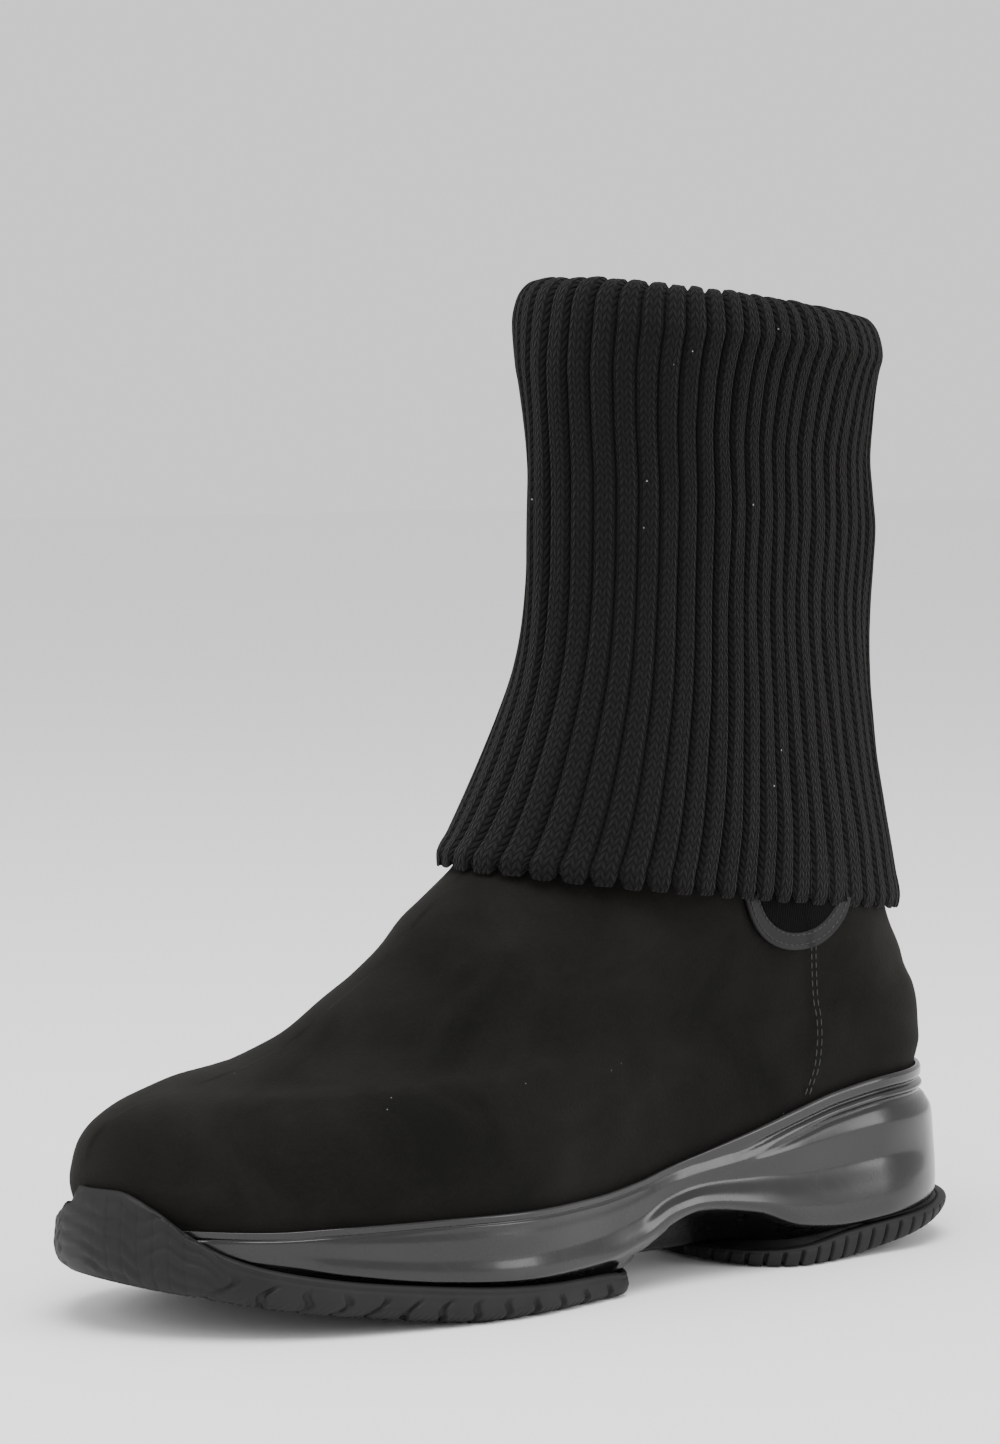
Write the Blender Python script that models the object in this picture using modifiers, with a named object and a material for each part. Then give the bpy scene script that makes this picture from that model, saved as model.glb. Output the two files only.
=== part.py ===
"""Left mid-calf boot: suede upper, folded ribbed knit cuff, moulded wedge midsole, two rubber treads.

Metres, +X to the toe, +Y to the wearer's left (the outer side of this left boot), +Z up.
The solids are first worked out with x = 0 at the back of the heel tread and then centred on the origin.
"""
import math

import bmesh
import bpy
from mathutils import Matrix, Vector

# Sizes of the whole boot
LENGTH = 0.275          # heel tread's back edge to the toe bumper's tip
BALL_WIDTH = 0.094      # across the midsole rim at the ball
HEEL_WIDTH = 0.064      # across the midsole rim at the heel
HEEL_RIM = 0.0497       # floor to the rim of the midsole behind the heel
BALL_RIM = 0.0280       # floor to the rim at the ball
TOE_SPRING = 0.0150     # floor to the sole's lower edge at the toe tip
INSTEP_HEIGHT = 0.112   # floor to the instep where the cuff's hem crosses it
COLLAR_HEIGHT = 0.156   # floor to the front of the suede collar, inside the cuff
COLLAR_LENGTH = 0.106   # front to back of the suede collar
COLLAR_WIDTH = 0.056    # side to side of the suede collar
BOOT_HEIGHT = 0.273     # floor to the highest point of the cuff's fold, over the front

# Walls, gaps and small sizes
CLEAR = 0.0003          # between pieces that touch
SUEDE = 0.0020          # upper's wall
LIP = 0.0016            # midsole's lip around the upper
CUP_DEPTH = 0.0045      # lip's top to the cup's floor
INSOLE = 0.0032         # footbed
HEEL_SETBACK = 0.0085   # rim's back ahead of the heel tread's back edge
BUMPER = 0.0032         # rubber over the toe
SIDE_SKIN = 0.0012      # rubber that stands up beside the forefoot
FORE_TREAD = 0.0052     # forefoot rubber under the midsole
FLARE = 0.0040          # midsole's crest beyond its rim at the heel's sides
GROOVE = 0.0009         # depth of the grooves under the rim
LUG_DEPTH = 0.0018      # gaps between the forefoot's lugs
HEEL_LUG_DEPTH = 0.0014
KNIT = 0.0034           # one layer of the knit
RIB_DEPTH = 0.0014
RIB_COUNT = 48
GORE_RADIUS = 0.0210    # outer edge of the gore's U trim
GORE_HEIGHT = 0.1080    # floor to the centre of the U
GORE_PLACE = 0.0740     # heel's back edge to the centre of the U
TRIM_WIDTH = 0.0050
TRIM_THICKNESS = 0.0012
GORE_THICKNESS = 0.0006
SHARP_ANGLE = math.radians(38)

# Points along one side of each outline
STATIONS = 24           # the upper and the sole share them, so that their faces lie side by side
FORE_LUGS = 14          # bars across the forefoot
HEEL_LUGS = 11
LUG_POINTS = 3          # stations in one bar and its gap


def table(names, rows):
    """Named columns of a short table."""
    return {name: [row[i] for row in rows] for i, name in enumerate(names.split())}


def curve(xs, ys):
    """A smooth curve through the points that never overshoots them."""
    n = len(xs)
    steps = [xs[i + 1] - xs[i] for i in range(n - 1)]
    slopes = [(ys[i + 1] - ys[i]) / steps[i] for i in range(n - 1)]
    tangents = [slopes[0]] + [0.0] * (n - 2) + [slopes[-1]]
    for i in range(1, n - 1):
        if slopes[i - 1] * slopes[i] > 0:
            before = 2 * steps[i] + steps[i - 1]
            after = steps[i] + 2 * steps[i - 1]
            tangents[i] = (before + after) / (before / slopes[i - 1] + after / slopes[i])

    def value(x):
        x = min(max(x, xs[0]), xs[-1])
        i = max(j for j in range(n - 1) if xs[j] <= x)
        u = (x - xs[i]) / steps[i]
        rise = (1 + 2 * u) * (1 - u) ** 2 * ys[i] + u * u * (3 - 2 * u) * ys[i + 1]
        lean = u * (1 - u) ** 2 * tangents[i] + u * u * (u - 1) * tangents[i + 1]
        return rise + steps[i] * lean

    return value


def columns(rows, key="at"):
    """A curve for every column of a table."""
    return {name: curve(rows[key], rows[name]) for name in rows if name != key}


# Plan of the rim. at: share of LENGTH from the heel's back. centre: share of BALL_WIDTH to the outer side.
# heel and ball: shares of HEEL_WIDTH and BALL_WIDTH that make the half width.
PLAN = columns(table("at centre heel ball", [
    (0.00, 0.000, 0.485, 0.000),
    (0.12, 0.005, 0.490, 0.000),
    (0.25, 0.020, 0.490, 0.010),
    (0.40, 0.060, 0.350, 0.088),
    (0.50, 0.075, 0.200, 0.225),
    (0.62, 0.058, 0.050, 0.422),
    (0.72, 0.010, 0.000, 0.495),
    (0.85, -0.030, 0.000, 0.468),
    (0.93, -0.050, 0.000, 0.440),
    (1.00, -0.062, 0.000, 0.420),
]))
HEEL_ROUND = 0.120      # share of LENGTH over which the heel's outline closes
TOE_ROUND = 0.190

# Midsole's side. lift: share of the rise from BALL_RIM to HEEL_RIM. crest and face: shares of HEEL_RIM, the
# lowest outer edge of the wall and the lower edge of the narrow face under it. flare: share of FLARE.
# back: crest's reach behind the rim, share of HEEL_SETBACK. beads: how deep the heel's second groove is.
SIDE = columns(table("at lift crest face body hollow flare beads", [
    (0.00, 1.000, 0.335, 0.255, 0.55, 0.75, 0.85, 1.0),
    (0.06, 1.000, 0.325, 0.245, 0.50, 0.55, 0.90, 1.0),
    (0.12, 0.990, 0.310, 0.222, 0.40, 0.30, 0.95, 1.0),
    (0.20, 0.870, 0.292, 0.198, 0.32, 0.22, 1.00, 0.9),
    (0.26, 0.700, 0.318, 0.232, 0.30, 0.22, 1.00, 0.5),
    (0.32, 0.505, 0.388, 0.345, 0.25, 0.22, 0.95, 0.1),
    (0.39, 0.300, 0.436, 0.400, 0.15, 0.18, 0.80, 0.0),
    (0.43, 0.195, 0.402, 0.350, 0.10, 0.14, 0.70, 0.0),
    (0.47, 0.090, 0.300, 0.215, 0.08, 0.10, 0.55, 0.0),
    (0.53, 0.005, 0.228, 0.160, 0.08, 0.08, 0.40, 0.0),
    (0.62, -0.010, 0.214, 0.172, 0.08, 0.08, 0.28, 0.0),
    (0.72, 0.010, 0.250, 0.226, 0.08, 0.08, 0.22, 0.0),
    (0.82, 0.010, 0.335, 0.308, 0.05, 0.05, 0.15, 0.0),
    (0.88, -0.010, 0.400, 0.370, 0.00, 0.00, 0.00, 0.0),
    (0.93, 0.000, 0.420, 0.385, 0.00, 0.00, 0.00, 0.0),
    (1.00, 0.020, 0.430, 0.395, 0.00, 0.00, 0.00, 0.0),
]))
# Depth of each level of the wall, as a share of the drop from rim to crest.
WALL_LEVELS = dict(bead=0.035, groove=0.115, second_bead=0.165, second_groove=0.215, body=0.40, hollow=0.63,
                   swell=0.87)

# Underside of the midsole. pinch: share of the rim's half width left at the keel. keel: share of HEEL_RIM.
KEEL = columns(table("at pinch keel", [
    (0.00, 1.00, 0.250),
    (0.12, 1.00, 0.205),
    (0.20, 0.97, 0.165),
    (0.25, 0.80, 0.125),
    (0.29, 0.48, 0.105),
    (0.34, 0.34, 0.100),
    (0.41, 0.36, 0.112),
    (0.44, 0.60, 0.128),
    (0.48, 0.90, 0.128),
    (0.52, 0.98, 0.112),
    (1.00, 0.98, 0.112),
]))

# Forefoot tread. spring: share of TOE_SPRING. outer and inner: height of its upper edge on each side, share of
# HEEL_RIM. wrap: how far the wall has gone from the thin side skin to the toe bumper.
FORE = columns(table("at spring outer inner wrap", [
    (0.455, 0.00, 0.105, 0.105, 0.0),
    (0.475, 0.00, 0.112, 0.112, 0.0),
    (0.51, 0.00, 0.140, 0.140, 0.0),
    (0.59, 0.00, 0.158, 0.158, 0.0),
    (0.66, 0.00, 0.185, 0.185, 0.0),
    (0.72, 0.10, 0.222, 0.222, 0.0),
    (0.80, 0.31, 0.280, 0.280, 0.1),
    (0.85, 0.44, 0.330, 0.330, 0.4),
    (0.89, 0.58, 0.385, 0.385, 0.7),
    (0.92, 0.69, 0.455, 0.430, 1.0),
    (0.945, 0.78, 0.560, 0.490, 1.0),
    (0.965, 0.85, 0.675, 0.535, 1.0),
    (0.985, 0.93, 0.755, 0.560, 1.0),
    (0.996, 0.98, 0.745, 0.625, 1.0),
    (1.00, 1.00, 0.705, 0.705, 1.0),
]))
FORE_BACK = 0.458       # share of LENGTH where the forefoot tread starts
FORE_BACK_ROUND = 0.045
FORE_BLEND = 0.030      # share of LENGTH over which the midsole's wall steps in for the forefoot tread
LEDGE = 0.0008          # midsole's crest over the rubber's edge
LOWEST_WALL = 0.0035    # midsole's wall that is left where the toe bumper covers it

# Heel tread. half: share of HEEL_WIDTH. bevel: rise of its lower edge, share of HEEL_RIM.
HEEL = columns(table("at half bevel", [
    (0.00, 0.545, 0.205),
    (0.04, 0.545, 0.165),
    (0.09, 0.545, 0.100),
    (0.14, 0.545, 0.045),
    (0.19, 0.550, 0.008),
    (0.22, 0.560, 0.000),
    (0.26, 0.565, 0.000),
    (0.29, 0.560, 0.002),
    (0.335, 0.540, 0.020),
]))
HEEL_FRONT = 0.335
HEEL_FRONT_ROUND = 0.092

# Upper, a row for each level from the cup's floor to the collar. Each level is one closed ring.
# front_x, back_x: shares of LENGTH. front_z, back_z: shares of INSTEP_HEIGHT. follow: how far the ring keeps to the
# rim's own rise. width: share of the plan's half width. shaft: how far it has become the collar's oval.
# toe, heel: shares of LENGTH over which the ring closes in front and behind.
UPPER_ROWS = table("level back_x back_z front_x front_z follow width shaft toe heel", [
    (1, 0.0375, 0.500, 0.9830, 0.310, 0.90, 0.975, 0.00, 0.190, 0.112),
    (2, 0.0370, 0.540, 0.9890, 0.372, 0.60, 0.985, 0.00, 0.205, 0.113),
    (3, 0.0375, 0.575, 0.9840, 0.425, 0.30, 0.980, 0.00, 0.245, 0.115),
    (4, 0.0390, 0.610, 0.9680, 0.469, 0.12, 0.970, 0.00, 0.310, 0.118),
    (5, 0.0420, 0.645, 0.9300, 0.508, 0.03, 0.955, 0.00, 0.370, 0.122),
    (6, 0.0460, 0.672, 0.8600, 0.543, 0.00, 0.930, 0.00, 0.390, 0.128),
    (7, 0.0510, 0.700, 0.7860, 0.604, 0.00, 0.915, 0.06, 0.360, 0.136),
    (8, 0.0560, 0.728, 0.7300, 0.695, 0.00, 0.920, 0.18, 0.325, 0.148),
    (9, 0.0620, 0.757, 0.6750, 0.790, 0.00, 0.920, 0.36, 0.290, 0.165),
    (10, 0.0690, 0.790, 0.6310, 0.890, 0.00, 0.920, 0.58, 0.265, 0.190),
    (11, 0.0770, 0.840, 0.5730, 1.000, 0.00, 0.920, 0.78, 0.250, 0.215),
])
LEVELS = UPPER_ROWS["level"][-1]
SHAFT_HALF = 0.0395     # half width of the ankle where the hem lies
SHAFT_PEAK = 0.42       # share of the shaft's length, from the front, where it is widest

# Cuff's outer face, a row for each level from the hem to the fold. back_x, front_x: shares of LENGTH.
# back_z, front_z: shares of BOOT_HEIGHT. half: share of LENGTH. power: 2 for an oval, less for flatter sides.
CUFF_ROWS = table("level back_x back_z front_x front_z half power", [
    (0, 0.0505, 0.344, 0.5870, 0.412, 0.1580, 2.00),
    (1, 0.0640, 0.410, 0.5510, 0.469, 0.1500, 2.00),
    (2, 0.0765, 0.487, 0.5165, 0.546, 0.1320, 1.95),
    (3, 0.0820, 0.575, 0.4945, 0.625, 0.1160, 1.85),
    (4, 0.0755, 0.656, 0.4890, 0.703, 0.1070, 1.75),
    (5, 0.0690, 0.725, 0.4890, 0.784, 0.1065, 1.75),
    (6, 0.0830, 0.802, 0.4900, 0.846, 0.1130, 1.85),
    (7, 0.0820, 0.864, 0.4925, 0.897, 0.1260, 1.95),
    (8, 0.0780, 0.903, 0.4890, 0.942, 0.1390, 2.00),
])
CUFF_LEVELS = len(CUFF_ROWS["level"]) - 1
CUFF_PEAK = 0.39        # share of the cuff's length, from the front, where it is widest
OUTER_RINGS = 8         # rings up the cuff's outer face
FOLD = 0.0110           # height of the fold's roll over the last level
FOLD_SETBACK = 0.0080   # fold's crown inside the outer face
CUFF_WALL = 0.0085      # both layers of the folded knit


def close_end(distance, reach, power=2.0):
    """Rounds an outline off: 0 at its end, 1 from the reach onward."""
    if distance >= reach:
        return 1.0
    left = 1.0 - max(distance, 0.0) / reach
    return max(1.0 - left ** power, 0.0) ** (1.0 / power)


def stations(count):
    """Shares from 0 to 1 that crowd towards both ends."""
    return [(1 - math.cos(math.pi * i / count)) / 2 for i in range(count + 1)]


def around(shares):
    """Share and side of each point of a ring: heel, outer side, toe, inner side."""
    return [(s, 1) for s in shares] + [(s, -1) for s in reversed(shares[1:-1])]


def plan_half(x):
    at = x / LENGTH
    return PLAN["heel"](at) * HEEL_WIDTH + PLAN["ball"](at) * BALL_WIDTH


def plan_centre(x):
    return PLAN["centre"](x / LENGTH) * BALL_WIDTH


def rim_height(x):
    return BALL_RIM + (HEEL_RIM - BALL_RIM) * SIDE["lift"](x / LENGTH)


def sole_bottom(x):
    return TOE_SPRING * FORE["spring"](x / LENGTH)


def sole_ring(shares, out, height, out_back=None, out_front=None, pinch=None, back=None, front=None,
              back_round=HEEL_ROUND, toe_round=TOE_ROUND):
    """A ring of the sole: the rim's outline moved outwards by out(x), at height(x, side)."""
    out_back = out(0.0) if out_back is None else out_back
    out_front = out(LENGTH) if out_front is None else out_front
    start = (HEEL_SETBACK if back is None else back) - out_back
    end = (LENGTH - BUMPER if front is None else front) + out_front
    ring = []
    for share, side in around(shares):
        x = start + (end - start) * share
        half = plan_half(x) * (1.0 if pinch is None else pinch(x)) + out(x)
        half *= close_end(x - start, back_round * LENGTH + out_back)
        half *= close_end(end - x, toe_round * LENGTH + out_front)
        ring.append(Vector((x, plan_centre(x) + side * half, height(x, side))))
    return ring


def loft(name, rings, closed=False, ladder_caps=True):
    """Skins rings of equal length, and closes the ends, or joins the last ring to the first."""
    mesh = bmesh.new()
    grid = [[mesh.verts.new(point) for point in ring] for ring in rings]
    count = len(rings[0])
    pairs = list(zip(grid, grid[1:]))
    if closed:
        pairs.append((grid[-1], grid[0]))
    for low, high in pairs:
        for i in range(count):
            j = (i + 1) % count
            mesh.faces.new((low[i], low[j], high[j], high[i]))
    if not closed and ladder_caps:
        half = count // 2
        for ring in (grid[0], grid[-1]):
            mesh.faces.new((ring[0], ring[1], ring[-1]))
            mesh.faces.new((ring[half], ring[half + 1], ring[half - 1]))
            for i in range(1, half - 1):
                mesh.faces.new((ring[i], ring[i + 1], ring[-i - 1], ring[-i]))
    bmesh.ops.recalc_face_normals(mesh, faces=mesh.faces)
    if mesh.calc_volume(signed=True) < 0:
        bmesh.ops.reverse_faces(mesh, faces=mesh.faces)
    data = bpy.data.meshes.new(name)
    mesh.to_mesh(data)
    mesh.free()
    return bpy.data.objects.new(name, data)


def constant(value):
    return lambda x: value


def rubber_edge(x, side):
    """Upper edge of the forefoot rubber."""
    return FORE["outer" if side > 0 else "inner"](x / LENGTH) * HEEL_RIM


def crest_height(x, side):
    """Lowest outer edge of the midsole's wall, which stays above the forefoot rubber."""
    height = max(SIDE["crest"](x / LENGTH) * HEEL_RIM, rubber_edge(x, side) + LEDGE)
    return min(height, rim_height(x) - LOWEST_WALL)


def wall_height(level):
    """Height of a level of the midsole's wall, from the rim down to the crest."""
    drop = WALL_LEVELS[level]

    def height(x, side):
        rim = rim_height(x)
        return rim - drop * (rim - crest_height(x, side))

    return height


def side_out(column, share=1.0, less=0.0):
    return lambda x: share * FLARE * SIDE[column](x / LENGTH) - less


def fore_inner(x):
    """Forefoot rubber's inner face, from inside the rim's line to just outside it at the toe."""
    wrap = FORE["wrap"](x / LENGTH)
    return -SIDE_SKIN * (1 - wrap) + CLEAR * wrap


def fore_share(x):
    """0 behind the forefoot rubber, 1 from just ahead of its back edge."""
    return min(max((x / LENGTH - FORE_BACK) / FORE_BLEND + 0.5, 0.0), 1.0)


def under_out(x):
    """Midsole's lower wall: flush with the heel tread, inside the forefoot rubber."""
    return (fore_inner(x) - CLEAR) * fore_share(x)


def make_midsole():
    shares = stations(STATIONS)
    back = HEEL_SETBACK

    def ring(out, height, out_back=None, pinch=None):
        return sole_ring(shares, out, height, out_back=out_back, pinch=pinch)

    def rim(drop):
        return lambda x, side: rim_height(x) - drop

    def face(x, side):
        height = max(SIDE["face"](x / LENGTH) * HEEL_RIM, rubber_edge(x, side) + CLEAR)
        return min(height, crest_height(x, side) - LEDGE / 2)

    def face_out(x):
        share = fore_share(x)
        return 0.72 * FLARE * SIDE["flare"](x / LENGTH) * (1 - share) + under_out(x)

    def keel(x, side):
        at = x / LENGTH
        fore = sole_bottom(x) + FORE_TREAD + CLEAR
        return max(KEEL["keel"](at) * HEEL_RIM, fore)

    def between(share):
        return lambda x, side: face(x, side) + share * (keel(x, side) - face(x, side))

    def pinched(share):
        return lambda x: 1 + share * (KEEL["pinch"](x / LENGTH) - 1)

    def under(share):
        """Out by what is left of the crest's flare, down to the keel."""
        return lambda x: under_out(x) + (1 - share) * 0.6 * FLARE * SIDE["flare"](x / LENGTH) * (1 - fore_share(x))

    beads = SIDE["beads"]
    rings = [
        ring(constant(-LIP), rim(CUP_DEPTH)),
        ring(constant(-LIP), rim(0.25 * LIP)),
        ring(constant(-LIP / 2), rim(0.0)),
        ring(constant(0.0), wall_height("bead")),
        ring(lambda x: -GROOVE, wall_height("groove")),
        ring(lambda x: -GROOVE * 0.1 * beads(x / LENGTH), wall_height("second_bead"), out_back=0.0),
        ring(lambda x: 0.1 * GROOVE - GROOVE * beads(x / LENGTH), wall_height("second_groove"), out_back=0.0003),
        ring(side_out("body"), wall_height("body"), out_back=0.44 * back),
        ring(side_out("hollow"), wall_height("hollow"), out_back=0.54 * back),
        ring(side_out("flare", 0.86), wall_height("swell"), out_back=0.60 * back),
        ring(side_out("flare"), crest_height, out_back=0.58 * back),
        ring(face_out, face, out_back=0.56 * back),
        ring(under(0.45), between(0.30), out_back=0.56 * back, pinch=pinched(0.55)),
        ring(under(0.80), between(0.62), out_back=0.56 * back, pinch=pinched(0.86)),
        ring(under(1.00), keel, out_back=0.55 * back, pinch=pinched(1.0)),
    ]
    return loft("midsole", rings)


def lug_stations(count, start=0.0, end=1.0):
    """Evenly spaced stations, LUG_POINTS to a lug, with a few more where the ends close."""
    inner = [start + (end - start) * i / (count * LUG_POINTS) for i in range(count * LUG_POINTS + 1)]
    tail = [start * share for share in (0.0, 0.06, 0.25, 0.60)] if start > 0 else []
    nose = [1 - (1 - end) * share for share in (0.72, 0.45, 0.22, 0.06, 0.0)] if end < 1 else []
    return tail + inner + nose


def gap_at(index, start_index, count):
    """1 in a gap between lugs, 0 on a lug."""
    step = index - start_index
    if not 0 <= step <= count * LUG_POINTS:
        return 0.0
    return 1.0 if step % LUG_POINTS == LUG_POINTS - 1 else 0.0


def make_forefoot_tread():
    shares = lug_stations(FORE_LUGS, 0.03, 0.90)
    first = 4
    start = FORE_BACK * LENGTH

    def skin(x):
        return SIDE_SKIN * 0.8 + (BUMPER - SIDE_SKIN * 0.8) * FORE["wrap"](x / LENGTH)

    def bed(x, side):
        return sole_bottom(x) + FORE_TREAD

    def mix(share):
        return lambda x, side: sole_bottom(x) + share * (rubber_edge(x, side) - sole_bottom(x))

    def lip(drop):
        return lambda x, side: max(rubber_edge(x, side), bed(x, side) + 0.0008) - min(drop, 0.0006)

    def ring(out, height):
        return sole_ring(shares, out, height, out_back=out(start), back=start, back_round=FORE_BACK_ROUND)

    def with_lugs(points, rise, cut):
        """Lifts the gaps between the lugs and sets them back."""
        count = len(shares)
        for i, (share, side) in enumerate(around(shares)):
            index = i if i < count else 2 * (count - 1) - i
            gap = gap_at(index, first, FORE_LUGS)
            points[i].z += rise * gap
            points[i].y -= side * cut * gap
        return points

    rings = [
        ring(fore_inner, bed),
        ring(fore_inner, lip(0.0006)),
        ring(lambda x: 0.5 * (fore_inner(x) + skin(x)), lip(0.0)),
        ring(skin, lip(0.0008)),
        with_lugs(ring(lambda x: skin(x) + 0.0008, mix(0.42)), 0.0, 0.0009),
        with_lugs(ring(lambda x: skin(x) - 0.0004, mix(0.12)), LUG_DEPTH * 0.5, 0.0012),
        with_lugs(ring(lambda x: skin(x) - 0.0030, lambda x, side: sole_bottom(x)), LUG_DEPTH, 0.0),
    ]
    return loft("outsole_forefoot", rings)


def make_heel_tread():
    shares = lug_stations(HEEL_LUGS, 0.03, 0.86)
    first = 4
    front = HEEL_FRONT * LENGTH

    def ring(inset, height, lift_gap=0.0, cut=0.0):
        points = []
        start, end = inset, front - inset
        count = len(shares)
        for i, (share, side) in enumerate(around(shares)):
            index = i if i < count else 2 * (count - 1) - i
            gap = gap_at(index, first, HEEL_LUGS)
            x = start + (end - start) * share
            half = HEEL["half"](x / LENGTH) * HEEL_WIDTH - inset
            half *= close_end(x - start, (HEEL_ROUND + 0.010) * LENGTH - inset)
            half *= close_end(end - x, HEEL_FRONT_ROUND * LENGTH - inset)
            y = plan_centre(x) + side * max(half - cut * gap * min(half / 0.02, 1.0), 0.0)
            points.append(Vector((x, y, height(x) + lift_gap * gap)))
        return points

    def top(x):
        return KEEL["keel"](x / LENGTH) * HEEL_RIM - CLEAR

    def low(x):
        return HEEL["bevel"](x / LENGTH) * HEEL_RIM

    def mix(share):
        return lambda x: low(x) + share * (top(x) - low(x))

    rings = [
        ring(0.0010, top),
        ring(0.0000, mix(0.75)),
        ring(0.0002, mix(0.42), 0.0, HEEL_LUG_DEPTH * 0.7),
        ring(0.0009, mix(0.14), HEEL_LUG_DEPTH * 0.4, HEEL_LUG_DEPTH),
        ring(0.0032, low, HEEL_LUG_DEPTH),
    ]
    return loft("outsole_heel", rings)


UPPER = columns(UPPER_ROWS, "level")


def shaft_row(level):
    """Front, back and half width of the shaft, from the last level of the table up to the collar."""
    share = level - LEVELS
    front = UPPER["front_x"](LEVELS) * LENGTH
    back = UPPER["back_x"](LEVELS) * LENGTH
    top_front = collar_front()
    top_back = top_front - COLLAR_LENGTH
    return (front + (top_front - front) * share, back + (top_back - back) * share,
            SHAFT_HALF + (COLLAR_WIDTH / 2 - SHAFT_HALF) * share)


def collar_front():
    return (CUFF_ROWS["front_x"][3]) * LENGTH - KNIT - SUEDE / 2


def cup_point(level, share, side):
    """The upper down in the cup: the rim's own outline inside the lip, from the cup's floor (0) to the lip (1)."""
    inset = LIP + CLEAR
    start = HEEL_SETBACK + inset
    end = LENGTH - BUMPER - inset
    x = start + (end - start) * share
    half = plan_half(x) - inset
    half *= close_end(x - start, HEEL_ROUND * LENGTH - inset)
    half *= close_end(end - x, TOE_ROUND * LENGTH - inset)
    floor = rim_height(x) - CUP_DEPTH + CLEAR
    return Vector((x, plan_centre(x) + side * half, floor + CUP_DEPTH * level))


def upper_point(level, share, side):
    """The upper's outer face: level 0 at the cup's floor, LEVELS at the hem, LEVELS + 1 at the collar."""
    if level <= 1:
        return cup_point(level, share, side)
    row = min(level, LEVELS)
    follow = UPPER["follow"](row)
    shaft = UPPER["shaft"](row)
    start = UPPER["back_x"](row) * LENGTH
    end = UPPER["front_x"](row) * LENGTH
    back_z = UPPER["back_z"](row) * INSTEP_HEIGHT
    front_z = UPPER["front_z"](row) * INSTEP_HEIGHT
    oval = SHAFT_HALF
    toe = UPPER["toe"](row) * LENGTH
    heel = UPPER["heel"](row) * LENGTH
    if level > LEVELS:
        end, start, oval = shaft_row(level)
        rise = level - LEVELS
        back_z += (COLLAR_HEIGHT * 0.97 - back_z) * rise
        front_z += (COLLAR_HEIGHT - front_z) * rise
        shaft += (1 - shaft) * rise
        toe += ((end - start) * SHAFT_PEAK - toe) * rise
        heel += ((end - start) * (1 - SHAFT_PEAK) - heel) * rise
    x = start + (end - start) * share
    on_rim = rim_height(x) + CLEAR + (row - 1) * 0.0052
    z = follow * on_rim + (1 - follow) * (back_z + (front_z - back_z) * share)
    foot = plan_half(x) * UPPER["width"](row)
    half = foot + (oval - foot) * shaft
    half *= close_end(x - start, heel) * close_end(end - x, toe)
    point = Vector((x, plan_centre(x) * (1 - shaft) + side * half, z))
    if level < 2:
        cup = cup_point(1.0, share, side)
        return cup.lerp(point, level - 1)
    return point


def upper_ring(level, shares=None):
    shares = stations(STATIONS) if shares is None else shares
    return [upper_point(level, share, side) for share, side in around(shares)]


def make_upper():
    levels = [0, 1, 1.5, 2, 2.5, 3, 3.5, 4, 5, 6, 7, 8, 9, 10, 11, 11.5, 12]
    rings = [upper_ring(level) for level in levels]
    upper = loft("upper", rings, ladder_caps=False)
    wall = upper.modifiers.new("wall", "SOLIDIFY")
    wall.thickness = SUEDE
    wall.offset = -1.0
    wall.use_even_offset = True
    return upper


def make_insole():
    shares = stations(STATIONS)
    inset = LIP + CLEAR + SUEDE + 0.0010
    floor = CUP_DEPTH - CLEAR

    def level(out, rise):
        return sole_ring(shares, constant(out), lambda x, side: rim_height(x) - floor + rise, toe_round=0.200)

    rings = [level(-inset, 0.0), level(-inset, INSOLE * 0.8), level(-inset - 0.0012, INSOLE)]
    return loft("insole", rings)


CUFF = columns(CUFF_ROWS, "level")


def cuff_ring(level, out, lift, ribs, columns_around):
    """A ring of the cuff: moved outwards by out, raised by lift, with ribs that deep."""
    points = []
    power = CUFF["power"](level)
    start = CUFF["back_x"](level) * LENGTH - out
    end = CUFF["front_x"](level) * LENGTH + out
    length = end - start
    half = CUFF["half"](level) * LENGTH + out
    reach = length * CUFF_PEAK
    for i in range(columns_around):
        turn = 2 * math.pi * i / columns_around
        depth = ribs if i % 2 else 0.0
        along = math.cos(turn)
        across = math.sin(turn)
        stretch = (abs(along) ** power + abs(across) ** power) ** (-1.0 / power)
        along *= stretch
        across *= stretch
        centre = end - reach
        x = centre + along * ((reach if along > 0 else length - reach) - depth)
        y = across * (half - depth)
        share = (x - start) / length
        front_z = CUFF["front_z"](level) * BOOT_HEIGHT
        back_z = CUFF["back_z"](level) * BOOT_HEIGHT
        points.append(Vector((x, y, back_z + (front_z - back_z) * share + lift)))
    return points


def collar_ring(level, out, side_out_extra, columns_around, lift=0.0):
    """A ring that follows the upper at the cuff's own angles, moved outwards by out."""
    points = []
    end_point = upper_point(level, 1.0, 1)
    start_point = upper_point(level, 0.0, 1)
    length = end_point.x - start_point.x
    centre = end_point.x - length * CUFF_PEAK
    for i in range(columns_around):
        turn = 2 * math.pi * i / columns_around
        along = math.cos(turn)
        x = centre + along * (length * (CUFF_PEAK if along > 0 else 1 - CUFF_PEAK))
        share = min(max((x - start_point.x) / length, 0.0), 1.0)
        side = 1 if math.sin(turn) >= 0 else -1
        point = upper_point(level, share, side)
        spread = abs(math.sin(turn))
        point.x += along * out
        point.y += side * (out + side_out_extra) * spread
        point.z += lift
        points.append(point)
    return points


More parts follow.
